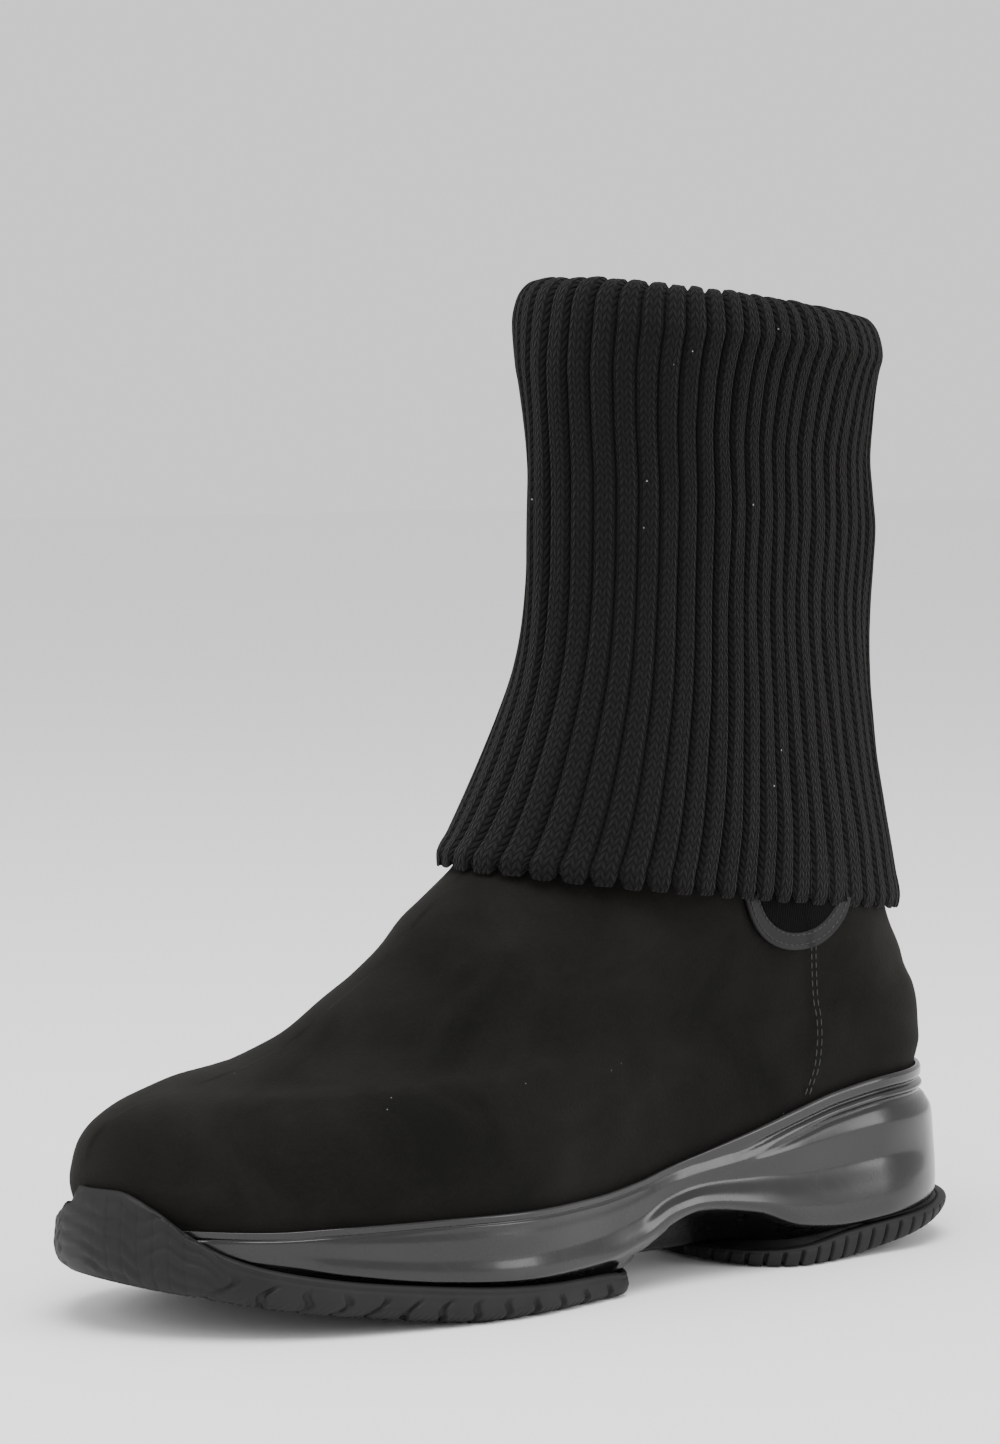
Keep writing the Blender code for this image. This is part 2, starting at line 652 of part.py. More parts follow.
def make_cuff():
    around_count = 2 * RIB_COUNT
    top = CUFF_LEVELS
    rings = [cuff_ring(top * i / OUTER_RINGS, 0.0, 0.0, RIB_DEPTH, around_count) for i in range(OUTER_RINGS + 1)]
    for turn, depth in ((38, 0.9), (90, 0.5)):
        angle = math.radians(turn)
        rings.append(cuff_ring(top, -FOLD_SETBACK * (1 - math.cos(angle)), FOLD * math.sin(angle),
                               RIB_DEPTH * depth, around_count))
    for turn in (142,):
        angle = math.radians(turn)
        rings.append(cuff_ring(top, -FOLD_SETBACK - CUFF_WALL * 0.62 * -math.cos(angle), FOLD * math.sin(angle),
                               RIB_DEPTH * 0.3, around_count))
    for level in (7.0, 4.6):
        rings.append(cuff_ring(level, -CUFF_WALL, 0.0, RIB_DEPTH * 0.3, around_count))
    collar = LEVELS + 1
    inner = SUEDE + 3 * CLEAR
    rings.append(collar_ring(collar, -inner - KNIT, 0.0, around_count, 0.002))
    rings.append(collar_ring(collar - 0.30, -inner - KNIT, 0.0, around_count))
    rings.append(collar_ring(collar - 0.30, -inner, 0.0, around_count))
    rings.append(collar_ring(collar, -inner, 0.0, around_count, 2 * CLEAR))
    rings.append(collar_ring(collar, 2 * CLEAR, 0.0, around_count, 2 * CLEAR))
    for level in (11.5, 11.0):
        rings.append(collar_ring(level, 2 * CLEAR, TRIM_THICKNESS + 3 * CLEAR, around_count))
    return loft("cuff", rings, closed=True)


def upper_level_at(x, z):
    """Level of the upper whose ring passes through x, z on the side."""
    low, high = 1.0, LEVELS + 1.0
    for _ in range(40):
        middle = (low + high) / 2
        start = upper_point(middle, 0.0, 1)
        end = upper_point(middle, 1.0, 1)
        share = min(max((x - start.x) / (end.x - start.x), 0.0), 1.0)
        if upper_point(middle, share, 1).z < z:
            low = middle
        else:
            high = middle
    return low, share


def on_upper(x, z, side, lift):
    """Point above the upper's side at x, z, lifted along the surface's normal."""
    def surface(px, pz):
        level, share = upper_level_at(px, pz)
        return upper_point(level, share, side)

    step = 0.0005
    point = surface(x, z)
    ahead = surface(x + step, z) - surface(x - step, z)
    above = surface(x, z + step) - surface(x, z - step)
    normal = ahead.cross(above)
    normal.normalize()
    if normal.y * side < 0:
        normal.negate()
    return point + normal * lift


def patch(name, points, thickness):
    """A grid of points on the upper, thickened outwards."""
    mesh = bmesh.new()
    grid = [[mesh.verts.new(point) for point in row] for row in points]
    for low, high in zip(grid, grid[1:]):
        for i in range(len(low) - 1):
            mesh.faces.new((low[i], low[i + 1], high[i + 1], high[i]))
    bmesh.ops.recalc_face_normals(mesh, faces=mesh.faces)
    outward = sum((face.normal.y * face.calc_center_median().y for face in mesh.faces))
    if outward < 0:
        bmesh.ops.reverse_faces(mesh, faces=mesh.faces)
    data = bpy.data.meshes.new(name)
    mesh.to_mesh(data)
    mesh.free()
    piece = bpy.data.objects.new(name, data)
    skin = piece.modifiers.new("thickness", "SOLIDIFY")
    skin.thickness = thickness
    skin.offset = 1.0
    skin.use_even_offset = True
    return piece


def make_gore_trim(name, side):
    """U-shaped leather band around the foot of the gore, running up under the hem."""
    turns = [math.radians(-180 + 180 * i / 16) for i in range(17)]
    rows = []
    for turn in turns:
        row = []
        for share in (0.0, 0.5, 1.0):
            radius = GORE_RADIUS - TRIM_WIDTH * share
            x = GORE_PLACE + radius * math.cos(turn)
            z = GORE_HEIGHT + radius * math.sin(turn)
            row.append(on_upper(x, z, side, 1.5 * CLEAR))
        rows.append(row)
    return patch(name, rows, TRIM_THICKNESS)


def make_gore(name, side):
    """Elastic panel inside the U."""
    radius = GORE_RADIUS - TRIM_WIDTH - CLEAR
    rows = []
    for i in range(7):
        turn = math.radians(-90 + 90 * i / 6)
        z = GORE_HEIGHT + radius * math.sin(turn)
        width = max(radius * math.cos(turn), radius * 0.16)
        rows.append([on_upper(GORE_PLACE + width * share, z, side, 2 * CLEAR)
                     for share in (-1.0, -0.5, 0.0, 0.5, 1.0)])
    return patch(name, rows, GORE_THICKNESS)


def material(name, colour, roughness, coat=0.0):
    made = bpy.data.materials.new(name)
    made.use_nodes = True
    shader = made.node_tree.nodes["Principled BSDF"]
    shader.inputs["Base Color"].default_value = (*colour, 1.0)
    shader.inputs["Roughness"].default_value = roughness
    shader.inputs["Metallic"].default_value = 0.0
    shader.inputs["Coat Weight"].default_value = coat
    made.diffuse_color = (*colour, 1.0)
    return made


def main():
    for old in list(bpy.data.objects):
        bpy.data.objects.remove(old, do_unlink=True)
    parts = bpy.data.collections.new("knit_cuff_boot")
    bpy.context.scene.collection.children.link(parts)
    suede = material("black_suede", (0.012, 0.012, 0.011), 0.95)
    knit = material("black_wool_knit", (0.010, 0.010, 0.010), 0.95)
    moulded = material("charcoal_moulded_sole", (0.030, 0.028, 0.028), 0.32, 0.2)
    rubber = material("black_rubber", (0.020, 0.021, 0.021), 0.70)
    leather = material("black_smooth_leather", (0.010, 0.010, 0.010), 0.45)
    elastic = material("black_elastic", (0.008, 0.008, 0.008), 0.90)
    footbed = material("black_lining_leather", (0.020, 0.019, 0.018), 0.60)
    pieces = [
        (make_forefoot_tread(), rubber),
        (make_heel_tread(), rubber),
        (make_midsole(), moulded),
        (make_insole(), footbed),
        (make_upper(), suede),
        (make_cuff(), knit),
        (make_gore_trim("gore_trim_outer", 1), leather),
        (make_gore_trim("gore_trim_inner", -1), leather),
        (make_gore("gore_outer", 1), elastic),
        (make_gore("gore_inner", -1), elastic),
    ]
    corners = [vertex.co for piece, _ in pieces for vertex in piece.data.vertices]
    shift = Matrix.Translation([-(min(c[i] for c in corners) + max(c[i] for c in corners)) / 2 for i in (0, 1)]
                               + [-min(c[2] for c in corners)])
    for piece, finish in pieces:
        piece.data.transform(shift)
        piece.data.shade_smooth()
        piece.data.set_sharp_from_angle(angle=SHARP_ANGLE)
        piece.data.materials.append(finish)
        parts.objects.link(piece)
    bpy.context.view_layer.update()


main()
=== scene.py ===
# Left mid-calf boot: suede upper, folded rib-knit cuff, moulded wedge midsole, rubber treads.
# Metres, +X to the toe, +Y to the boot's outer side, +Z up. x starts at the heel tread's back edge.
import math

import bpy
import bmesh
import numpy as np
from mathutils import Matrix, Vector


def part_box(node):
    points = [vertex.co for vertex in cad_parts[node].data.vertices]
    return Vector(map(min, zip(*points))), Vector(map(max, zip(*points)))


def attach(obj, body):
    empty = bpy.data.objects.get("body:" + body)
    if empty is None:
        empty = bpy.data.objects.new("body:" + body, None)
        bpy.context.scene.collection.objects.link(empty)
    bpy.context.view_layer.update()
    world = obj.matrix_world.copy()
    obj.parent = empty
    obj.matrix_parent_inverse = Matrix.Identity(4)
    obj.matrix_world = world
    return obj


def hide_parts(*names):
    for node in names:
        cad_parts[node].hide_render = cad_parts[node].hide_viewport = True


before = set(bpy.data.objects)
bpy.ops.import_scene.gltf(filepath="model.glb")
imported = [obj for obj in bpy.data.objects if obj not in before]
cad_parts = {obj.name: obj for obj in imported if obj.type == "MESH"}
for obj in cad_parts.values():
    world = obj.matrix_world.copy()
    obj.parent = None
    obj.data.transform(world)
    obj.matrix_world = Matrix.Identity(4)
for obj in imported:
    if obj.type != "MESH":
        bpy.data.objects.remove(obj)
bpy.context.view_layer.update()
print("frame loaded")

# Sizes of the boot, as its solids have them
boot = dict(
    length=0.275, ball=0.094, heel=0.064,         # outsole, rim at the ball, rim at the heel
    heelRim=0.0497, ballRim=0.0280, toeSpring=0.0150,
    instep=0.112, collar=0.156, collarLength=0.106, collarWidth=0.056,
    height=0.273, clear=0.0003, suede=0.0020,
    lip=0.0016, cup=0.0045, setback=0.0085, bumper=0.0032,
    ledge=0.0008, lowestWall=0.0035,              # between the rubber's edge, the crest and the rim
    skin=0.0012, tread=0.0052, flare=0.0040, knit=0.0034,
    toeRound=0.190, foreStart=0.458, collarFront=0.4945,      # shares of the length
    ankleHalf=0.0395, rimStep=0.0052,             # upper's half width at the ankle, rise of its low rings
    centreLine=-0.00086)
length = boot["length"]
heelRim = boot["heelRim"]
place = np.array([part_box("outsole_heel")[0].x, boot["centreLine"], 0.0])


def curveThrough(xs, ys):
    # smooth and never past its points; works on arrays
    xs, ys = np.array(xs, float), np.array(ys, float)
    steps, slopes = np.diff(xs), np.diff(ys) / np.diff(xs)
    tangents = np.zeros(len(xs))
    tangents[0], tangents[-1] = slopes[0], slopes[-1]
    for i in range(1, len(xs) - 1):
        if slopes[i - 1] * slopes[i] > 0:
            before, after = 2 * steps[i] + steps[i - 1], steps[i] + 2 * steps[i - 1]
            tangents[i] = (before + after) / (before / slopes[i - 1] + after / slopes[i])

    def value(x):
        x = np.clip(x, xs[0], xs[-1])
        i = np.clip(np.searchsorted(xs, x, side="right") - 1, 0, len(xs) - 2)
        u = (x - xs[i]) / steps[i]
        rise = (1 + 2 * u) * (1 - u) ** 2 * ys[i] + u * u * (3 - 2 * u) * ys[i + 1]
        lean = u * (1 - u) ** 2 * tangents[i] + u * u * (u - 1) * tangents[i + 1]
        return rise + steps[i] * lean

    return value


def columnsOf(names, rows):
    # a curve for each named column, over the first one
    names = names.split()
    keys = [row[0] for row in rows]
    return {name: curveThrough(keys, [row[i] for row in rows]) for i, name in enumerate(names) if i}


plan = columnsOf("at centre heel ball", [
    (0.00, 0.000, 0.485, 0.000), (0.12, 0.005, 0.490, 0.000), (0.25, 0.020, 0.490, 0.010),
    (0.40, 0.060, 0.350, 0.088), (0.50, 0.075, 0.200, 0.225), (0.62, 0.058, 0.050, 0.422),
    (0.72, 0.010, 0.000, 0.495), (0.85, -0.030, 0.000, 0.468), (0.93, -0.050, 0.000, 0.440),
    (1.00, -0.062, 0.000, 0.420)])
side = columnsOf("at lift crest face body hollow flare beads", [
    (0.00, 1.000, 0.335, 0.255, 0.55, 0.75, 0.85, 1.0), (0.06, 1.000, 0.325, 0.245, 0.50, 0.55, 0.90, 1.0),
    (0.12, 0.990, 0.310, 0.222, 0.40, 0.30, 0.95, 1.0), (0.20, 0.870, 0.292, 0.198, 0.32, 0.22, 1.00, 0.9),
    (0.26, 0.700, 0.318, 0.232, 0.30, 0.22, 1.00, 0.5), (0.32, 0.505, 0.388, 0.345, 0.25, 0.22, 0.95, 0.1),
    (0.39, 0.300, 0.436, 0.400, 0.15, 0.18, 0.80, 0.0), (0.43, 0.195, 0.402, 0.350, 0.10, 0.14, 0.70, 0.0),
    (0.47, 0.090, 0.300, 0.215, 0.08, 0.10, 0.55, 0.0), (0.53, 0.005, 0.228, 0.160, 0.08, 0.08, 0.40, 0.0),
    (0.62, -0.010, 0.214, 0.172, 0.08, 0.08, 0.28, 0.0), (0.72, 0.010, 0.250, 0.226, 0.08, 0.08, 0.22, 0.0),
    (0.82, 0.010, 0.335, 0.308, 0.05, 0.05, 0.15, 0.0), (0.88, -0.010, 0.400, 0.370, 0.00, 0.00, 0.00, 0.0),
    (0.93, 0.000, 0.420, 0.385, 0.00, 0.00, 0.00, 0.0), (1.00, 0.020, 0.430, 0.395, 0.00, 0.00, 0.00, 0.0)])
keel = columnsOf("at pinch keel", [
    (0.00, 1.00, 0.250), (0.12, 1.00, 0.205), (0.20, 0.97, 0.165), (0.25, 0.80, 0.125), (0.29, 0.48, 0.105),
    (0.34, 0.34, 0.100), (0.41, 0.36, 0.112), (0.44, 0.60, 0.128), (0.48, 0.90, 0.128), (0.52, 0.98, 0.112),
    (1.00, 0.98, 0.112)])
fore = columnsOf("at spring outer inner wrap", [
    (0.455, 0.00, 0.105, 0.105, 0.0), (0.475, 0.00, 0.112, 0.112, 0.0), (0.51, 0.00, 0.140, 0.140, 0.0),
    (0.59, 0.00, 0.158, 0.158, 0.0), (0.66, 0.00, 0.185, 0.185, 0.0), (0.72, 0.10, 0.222, 0.222, 0.0),
    (0.80, 0.31, 0.280, 0.280, 0.1), (0.85, 0.44, 0.330, 0.330, 0.4), (0.89, 0.58, 0.385, 0.385, 0.7),
    (0.92, 0.69, 0.455, 0.430, 1.0), (0.945, 0.78, 0.560, 0.490, 1.0), (0.965, 0.85, 0.675, 0.535, 1.0),
    (0.985, 0.93, 0.755, 0.560, 1.0), (0.996, 0.98, 0.745, 0.625, 1.0), (1.00, 1.00, 0.705, 0.705, 1.0)])
heelPad = columnsOf("at half bevel", [
    (0.00, 0.545, 0.205), (0.04, 0.545, 0.165), (0.09, 0.545, 0.100), (0.14, 0.545, 0.045),
    (0.19, 0.550, 0.008), (0.22, 0.560, 0.000), (0.26, 0.565, 0.000), (0.29, 0.560, 0.002),
    (0.335, 0.540, 0.020)])
upperLevels = columnsOf("level backX backZ frontX frontZ follow width shaft toe heel", [
    (1, 0.0375, 0.500, 0.9830, 0.310, 0.90, 0.975, 0.00, 0.190, 0.112),
    (2, 0.0370, 0.540, 0.9890, 0.372, 0.60, 0.985, 0.00, 0.205, 0.113),
    (3, 0.0375, 0.575, 0.9840, 0.425, 0.30, 0.980, 0.00, 0.245, 0.115),
    (4, 0.0390, 0.610, 0.9680, 0.469, 0.12, 0.970, 0.00, 0.310, 0.118),
    (5, 0.0420, 0.645, 0.9300, 0.508, 0.03, 0.955, 0.00, 0.370, 0.122),
    (6, 0.0460, 0.672, 0.8600, 0.543, 0.00, 0.930, 0.00, 0.390, 0.128),
    (7, 0.0510, 0.700, 0.7860, 0.604, 0.00, 0.915, 0.06, 0.360, 0.136),
    (8, 0.0560, 0.728, 0.7300, 0.695, 0.00, 0.920, 0.18, 0.325, 0.148),
    (9, 0.0620, 0.757, 0.6750, 0.790, 0.00, 0.920, 0.36, 0.290, 0.165),
    (10, 0.0690, 0.790, 0.6310, 0.890, 0.00, 0.920, 0.58, 0.265, 0.190),
    (11, 0.0770, 0.840, 0.5730, 1.000, 0.00, 0.920, 0.78, 0.250, 0.215)])
cuffLevels = columnsOf("level backX backZ frontX frontZ half power", [
    (0, 0.0505, 0.344, 0.5870, 0.412, 0.1580, 2.00), (1, 0.0640, 0.410, 0.5510, 0.469, 0.1500, 2.00),
    (2, 0.0765, 0.487, 0.5165, 0.546, 0.1320, 1.95), (3, 0.0820, 0.575, 0.4945, 0.625, 0.1160, 1.85),
    (4, 0.0755, 0.656, 0.4890, 0.703, 0.1070, 1.75), (5, 0.0690, 0.725, 0.4890, 0.784, 0.1065, 1.75),
    (6, 0.0830, 0.802, 0.4900, 0.846, 0.1130, 1.85), (7, 0.0820, 0.864, 0.4925, 0.897, 0.1260, 1.95),
    (8, 0.0780, 0.903, 0.4890, 0.942, 0.1390, 2.00)])


def closeEnd(distance, reach):
    # 0 at an outline's end, 1 from the reach onward
    left = np.clip(1 - np.maximum(distance, 0) / reach, 0, 1)
    return np.sqrt(1 - left ** 2)


def planHalf(x):
    return plan["heel"](x / length) * boot["heel"] + plan["ball"](x / length) * boot["ball"]


def planCentre(x):
    return plan["centre"](x / length) * boot["ball"]


def rimHeight(x):
    return boot["ballRim"] + (heelRim - boot["ballRim"]) * side["lift"](x / length)


def soleBottom(x):
    return boot["toeSpring"] * fore["spring"](x / length)


def turnsOf(count):
    # round the boot: heel, outer side, toe, inner side
    return 2 * np.pi * np.arange(count) / count


def soleRing(turns, out, height, outBack=None, pinch=None, back=None, backRound=0.120):
    # the rim's outline moved outwards by out(x), at height(x, outer)
    share = (1 - np.cos(turns)) / 2
    outer = np.where(turns <= np.pi + 1e-9, 1.0, -1.0)
    outBack = float(out(np.array(0.0))) if outBack is None else outBack
    outFront = float(out(np.array(length)))
    start = (boot["setback"] if back is None else back) - outBack
    end = length - boot["bumper"] + outFront
    x = start + (end - start) * share
    half = planHalf(x) * (1.0 if pinch is None else pinch(x)) + out(x)
    half = half * closeEnd(x - start, backRound * length + outBack)
    half = half * closeEnd(end - x, boot["toeRound"] * length + outFront)
    return np.stack([x, planCentre(x) + outer * half, height(x, outer)], axis=1)


def smoothRows(rows, counts):
    # rows of points joined by smooth curves, with that many steps from each row to the next
    rows = np.array(rows)
    steps = np.linalg.norm(np.diff(rows, axis=0), axis=2).mean(axis=1)[:, None, None] + 1e-9
    slopes = np.diff(rows, axis=0) / steps
    tangents = np.zeros_like(rows)
    tangents[0], tangents[-1] = slopes[0], slopes[-1]
    product = slopes[:-1] * slopes[1:]
    before, after = 2 * steps[1:] + steps[:-1], steps[1:] + 2 * steps[:-1]
    with np.errstate(divide="ignore", invalid="ignore"):
        harmonic = (before + after) / (before / slopes[:-1] + after / slopes[1:])
    tangents[1:-1] = np.where(product > 0, harmonic, 0.0)
    made = []
    for i, count in enumerate(counts):
        for u in np.arange(count) / count:
            rise = (1 + 2 * u) * (1 - u) ** 2 * rows[i] + u * u * (3 - 2 * u) * rows[i + 1]
            lean = u * (1 - u) ** 2 * tangents[i] + u * u * (u - 1) * tangents[i + 1]
            made.append(rise + steps[i] * lean)
    made.append(rows[-1])
    return np.array(made)


def gridNormals(grid):
    # normals of rows round the boot: outward where rows go down, or where a ring starts at the front
    around = np.roll(grid, -1, axis=1) - np.roll(grid, 1, axis=1)
    along = np.gradient(grid, axis=0)
    normals = np.cross(around, along)
    normals /= np.linalg.norm(normals, axis=2, keepdims=True) + 1e-12
    return normals


def bump(value, centre, width):
    return np.exp(-((value - centre) / width) ** 2)


def step(value, low, high):
    u = np.clip((value - low) / (high - low), 0, 1)
    return u * u * (3 - 2 * u)


def meshFrom(name, points, faces, uvs=None):
    # a finished mesh at its place, with its faces out
    mesh = bpy.data.meshes.new(name)
    mesh.from_pydata((np.asarray(points) + place).tolist(), [], faces)
    mesh.update()
    if uvs is not None:
        layer = mesh.uv_layers.new(name="surface")
        flat = np.concatenate([np.asarray(face, float) for face in uvs]).ravel()
        layer.data.foreach_set("uv", flat)
    check = bmesh.new()
    check.from_mesh(mesh)
    if check.calc_volume(signed=True) < 0:
        bmesh.ops.reverse_faces(check, faces=check.faces)
        check.to_mesh(mesh)
    check.free()
    mesh.shade_smooth()
    piece = bpy.data.objects.new(name, mesh)
    bpy.context.scene.collection.objects.link(piece)
    return piece


def gridFaces(rowCount, columnCount, wrapRows=False):
    faces = []
    for i in range(rowCount if wrapRows else rowCount - 1):
        low, high = i * columnCount, ((i + 1) % rowCount) * columnCount
        for j in range(columnCount):
            k = (j + 1) % columnCount
            faces.append((low + j, low + k, high + k, high + j))
    return faces


def ladder(ring):
    # a strip of faces that closes a ring across the boot
    half = len(ring) // 2
    faces = [(ring[0], ring[1], ring[-1]), (ring[half], ring[half + 1], ring[half - 1])]
    faces += [(ring[i], ring[i + 1], ring[-i - 1], ring[-i]) for i in range(1, half - 1)]
    return faces


def capAcross(points, ring, across, lift):
    # closes a ring with rows of points across it; lift(x, share) raises each point
    half = len(ring) // 2
    rows, added = [], []
    for i in range(1, half):
        a, b = points[ring[i]], points[ring[-i]]
        row = [ring[i]]
        for k in range(1, across):
            share = k / across
            point = a + (b - a) * share
            point = point + np.array([0, 0, lift(point[0], share)])
            added.append(point)
            row.append(len(points) + len(added) - 1)
        rows.append(row + [ring[-i]])
    faces = []
    for low, high in zip(rows, rows[1:]):
        faces += [(low[k], low[k + 1], high[k + 1], high[k]) for k in range(across)]
    faces += [(ring[0], rows[0][k + 1], rows[0][k]) for k in range(across)]
    faces += [(ring[half], rows[-1][k], rows[-1][k + 1]) for k in range(across)]
    return np.vstack([points, np.array(added)]), faces


# Materials
def linear(hexColour):
    # sRGB hex to linear
    parts = [int(hexColour[i:i + 2], 16) / 255 for i in (0, 2, 4)]
    return tuple(c / 12.92 if c <= 0.04045 else ((c + 0.055) / 1.055) ** 2.4 for c in parts) + (1.0,)


def addNode(tree, kind, settings=None, links=None):
    # settings: attributes, or numbered and named inputs; links: input to an output socket
    node = tree.nodes.new(kind)
    for key, value in (settings or {}).items():
        if isinstance(key, str) and hasattr(node, key):
            setattr(node, key, value)
        else:
            node.inputs[key].default_value = value
    for key, socket in (links or {}).items():
        tree.links.new(socket, node.inputs[key])
    return node


def newMaterial(name, settings):
    made = bpy.data.materials.new(name)
    made.use_nodes = True
    shader = made.node_tree.nodes["Principled BSDF"]
    for key, value in settings.items():
        shader.inputs[key].default_value = value
    return made, made.node_tree, shader


def calc(tree, operation, a, b=None, c=None):
    node = addNode(tree, "ShaderNodeMath", {"operation": operation})
    for i, value in enumerate((a, b, c)):
        if value is None:
            continue
        if isinstance(value, (int, float)):
            node.inputs[i].default_value = value
        else:
            tree.links.new(value, node.inputs[i])
    return node.outputs[0]


def ramp(tree, source, stops):
    node = addNode(tree, "ShaderNodeValToRGB", links={0: source})
    elements = node.color_ramp.elements
    while len(elements) < len(stops):
        elements.new(0.5)
    for element, (position, colour) in zip(elements, stops):
        element.position = position
        element.color = colour
    return node.outputs[0]


def noiseAt(tree, vector, size, detail=3.0, rough=0.55, distortion=0.0):
    # noise whose blotches are about that many metres wide
    return addNode(tree, "ShaderNodeTexNoise", {"Scale": 1 / size, "Detail": detail, "Roughness": rough,
                                                "Distortion": distortion}, {"Vector": vector}).outputs["Fac"]


def bumpFrom(tree, shader, height, distance, strength=1.0, below=None):
    links = {"Height": height}
    if below is not None:
        links["Normal"] = below
    node = addNode(tree, "ShaderNodeBump", {"Strength": strength, "Distance": distance}, links)
    tree.links.new(node.outputs["Normal"], shader.inputs["Normal"])
    return node.outputs["Normal"]


def grey(value):
    return (value, value, value, 1.0)


def dustOver(tree, shader, amount, tone, hexColour):
    # the tone with dust or lint of that colour over it
    dusty = addNode(tree, "ShaderNodeMix", {"data_type": "RGBA"}, {"Factor": amount, 6: tone})
    dusty.inputs[7].default_value = linear(hexColour)
    tree.links.new(dusty.outputs[2], shader.inputs["Base Color"])


def lintOn(tree, where, spacing, size, patch, share):
    # specks of lint, in the patches where the wider noise is above that share
    cells = addNode(tree, "ShaderNodeTexVoronoi", {"Scale": 1 / spacing}, {"Vector": where})
    return calc(tree, "MULTIPLY", calc(tree, "LESS_THAN", cells.outputs["Distance"], size),
                 calc(tree, "GREATER_THAN", noiseAt(tree, where, patch), share))


# Split suede: brushed leather, so a deep matt black whose nap turns slightly lighter in soft patches
suedeLook = dict(dark="080807", light="151412", rough=0.92, napSize=0.0007, patchSize=0.030, dustSize=0.0045)
suede, tree, shader = newMaterial("blackSuede", {
    "Roughness": suedeLook["rough"], "Specular IOR Level": 0.12,
    "Sheen Weight": 0.06, "Sheen Roughness": 0.55, "Sheen Tint": linear("8c8a84")})
where = addNode(tree, "ShaderNodeTexCoord").outputs["Object"]
patches = noiseAt(tree, where, suedeLook["patchSize"], 4.0, 0.6, 0.6)
nap = noiseAt(tree, where, suedeLook["napSize"], 2.0, 0.7)
mix = calc(tree, "MULTIPLY_ADD", nap, 0.35, calc(tree, "MULTIPLY", patches, 0.75))
tone = ramp(tree, mix, [(0.42, linear(suedeLook["dark"])), (0.72, linear(suedeLook["light"]))])
dustOver(tree, shader, lintOn(tree, where, suedeLook["dustSize"], 0.035, 0.011, 0.60), tone, "6e6c68")
soft = bumpFrom(tree, shader, patches, 0.0006, 0.6)
bumpFrom(tree, shader, nap, 0.00022, 0.8, soft)

# Wool rib knit: three columns of stitches to a rib, matt and slightly hairy, with painted highlight on the
# stitch tops and painted shade in the gaps between stitches and in the rib grooves
knitLook = dict(dark="040404", light="1a1919", wales=3, rowHeight=0.0024, lintSize=0.006, rough=0.95)
knit, tree, shader = newMaterial("blackWoolKnit", {
    "Roughness": knitLook["rough"], "Sheen Weight": 0.10, "Sheen Roughness": 0.45, "Specular IOR Level": 0.10,
    "Sheen Tint": linear("9a9896")})
uv = addNode(tree, "ShaderNodeUVMap", {"uv_map": "surface"}).outputs[0]
where = addNode(tree, "ShaderNodeTexCoord").outputs["Object"]
wobble = noiseAt(tree, where, 0.004, 2.0)
parts = addNode(tree, "ShaderNodeSeparateXYZ", links={0: uv})
ribPhase = calc(tree, "FRACT", parts.outputs[0])
waleAt = calc(tree, "FRACT", calc(tree, "MULTIPLY", parts.outputs[0], float(knitLook["wales"])))
fromMiddle = calc(tree, "ABSOLUTE", calc(tree, "MULTIPLY_ADD", waleAt, 2.0, -1.0))
rowAt = calc(tree, "ADD", calc(tree, "DIVIDE", parts.outputs[1], knitLook["rowHeight"]),
              calc(tree, "MULTIPLY", wobble, 0.5))
strandAt = calc(tree, "FRACT", calc(tree, "SUBTRACT", rowAt, calc(tree, "MULTIPLY", fromMiddle, 0.85)))
strand = calc(tree, "SUBTRACT", 1.0, calc(tree, "POWER", calc(tree, "ABSOLUTE", calc(
    tree, "MULTIPLY_ADD", strandAt, 2.0, -1.0)), 2.0))
plump = calc(tree, "POWER", calc(tree, "SINE", calc(tree, "MULTIPLY", fromMiddle, math.pi)), 0.5)
stitchHeight = calc(tree, "MULTIPLY", calc(tree, "MAXIMUM", strand, 0.0), plump)
edge = calc(tree, "MULTIPLY", calc(tree, "ABSOLUTE", calc(tree, "SUBTRACT", ribPhase, 0.5)), 2.0)
onRib = calc(tree, "SUBTRACT", 1.0, calc(tree, "POWER", edge, 7.0))
fibre = noiseAt(tree, where, 0.0004, 3.0, 0.7)
# painted light: colour lighter on the stitch tops (painted highlight) and darker in the gaps between stitches
# and at the rib edges (painted shade), mixed with the fibre's own random tone
shade = calc(tree, "MULTIPLY", calc(tree, "MULTIPLY_ADD", stitchHeight, 0.75, calc(
    tree, "MULTIPLY", fibre, 0.35)), onRib)
tone = ramp(tree, shade, [(0.05, linear(knitLook["dark"])), (0.95, linear(knitLook["light"]))])
dustOver(tree, shader, lintOn(tree, where, knitLook["lintSize"], 0.045, 0.013, 0.58), tone, "8a8884")
soft = bumpFrom(tree, shader, stitchHeight, 0.00055, 0.9)
bumpFrom(tree, shader, fibre, 0.0002, 0.6, soft)

# Injected polyurethane: charcoal, with the soft gloss of a polished mould and faint handling marks
soleLook = dict(dark="0e0d0d", light="141312", gloss=0.20, markSize=0.012)
moulded, tree, shader = newMaterial("mouldedPolyurethane", {
    "Coat Weight": 0.25, "Coat Roughness": 0.10, "Specular IOR Level": 0.38})
where = addNode(tree, "ShaderNodeTexCoord").outputs["Object"]
clouds = noiseAt(tree, where, 0.035, 3.0)
marks = noiseAt(tree, where, soleLook["markSize"], 5.0, 0.65, 0.8)
tree.links.new(ramp(tree, clouds, [(0.35, linear(soleLook["dark"])), (0.70, linear(soleLook["light"]))]),
               shader.inputs["Base Color"])
tree.links.new(ramp(tree, marks, [(0.30, grey(soleLook["gloss"])), (0.75, grey(soleLook["gloss"] + 0.12))]),
               shader.inputs["Roughness"])
bumpFrom(tree, shader, noiseAt(tree, where, 0.0011, 2.0), 0.00003, 0.5)

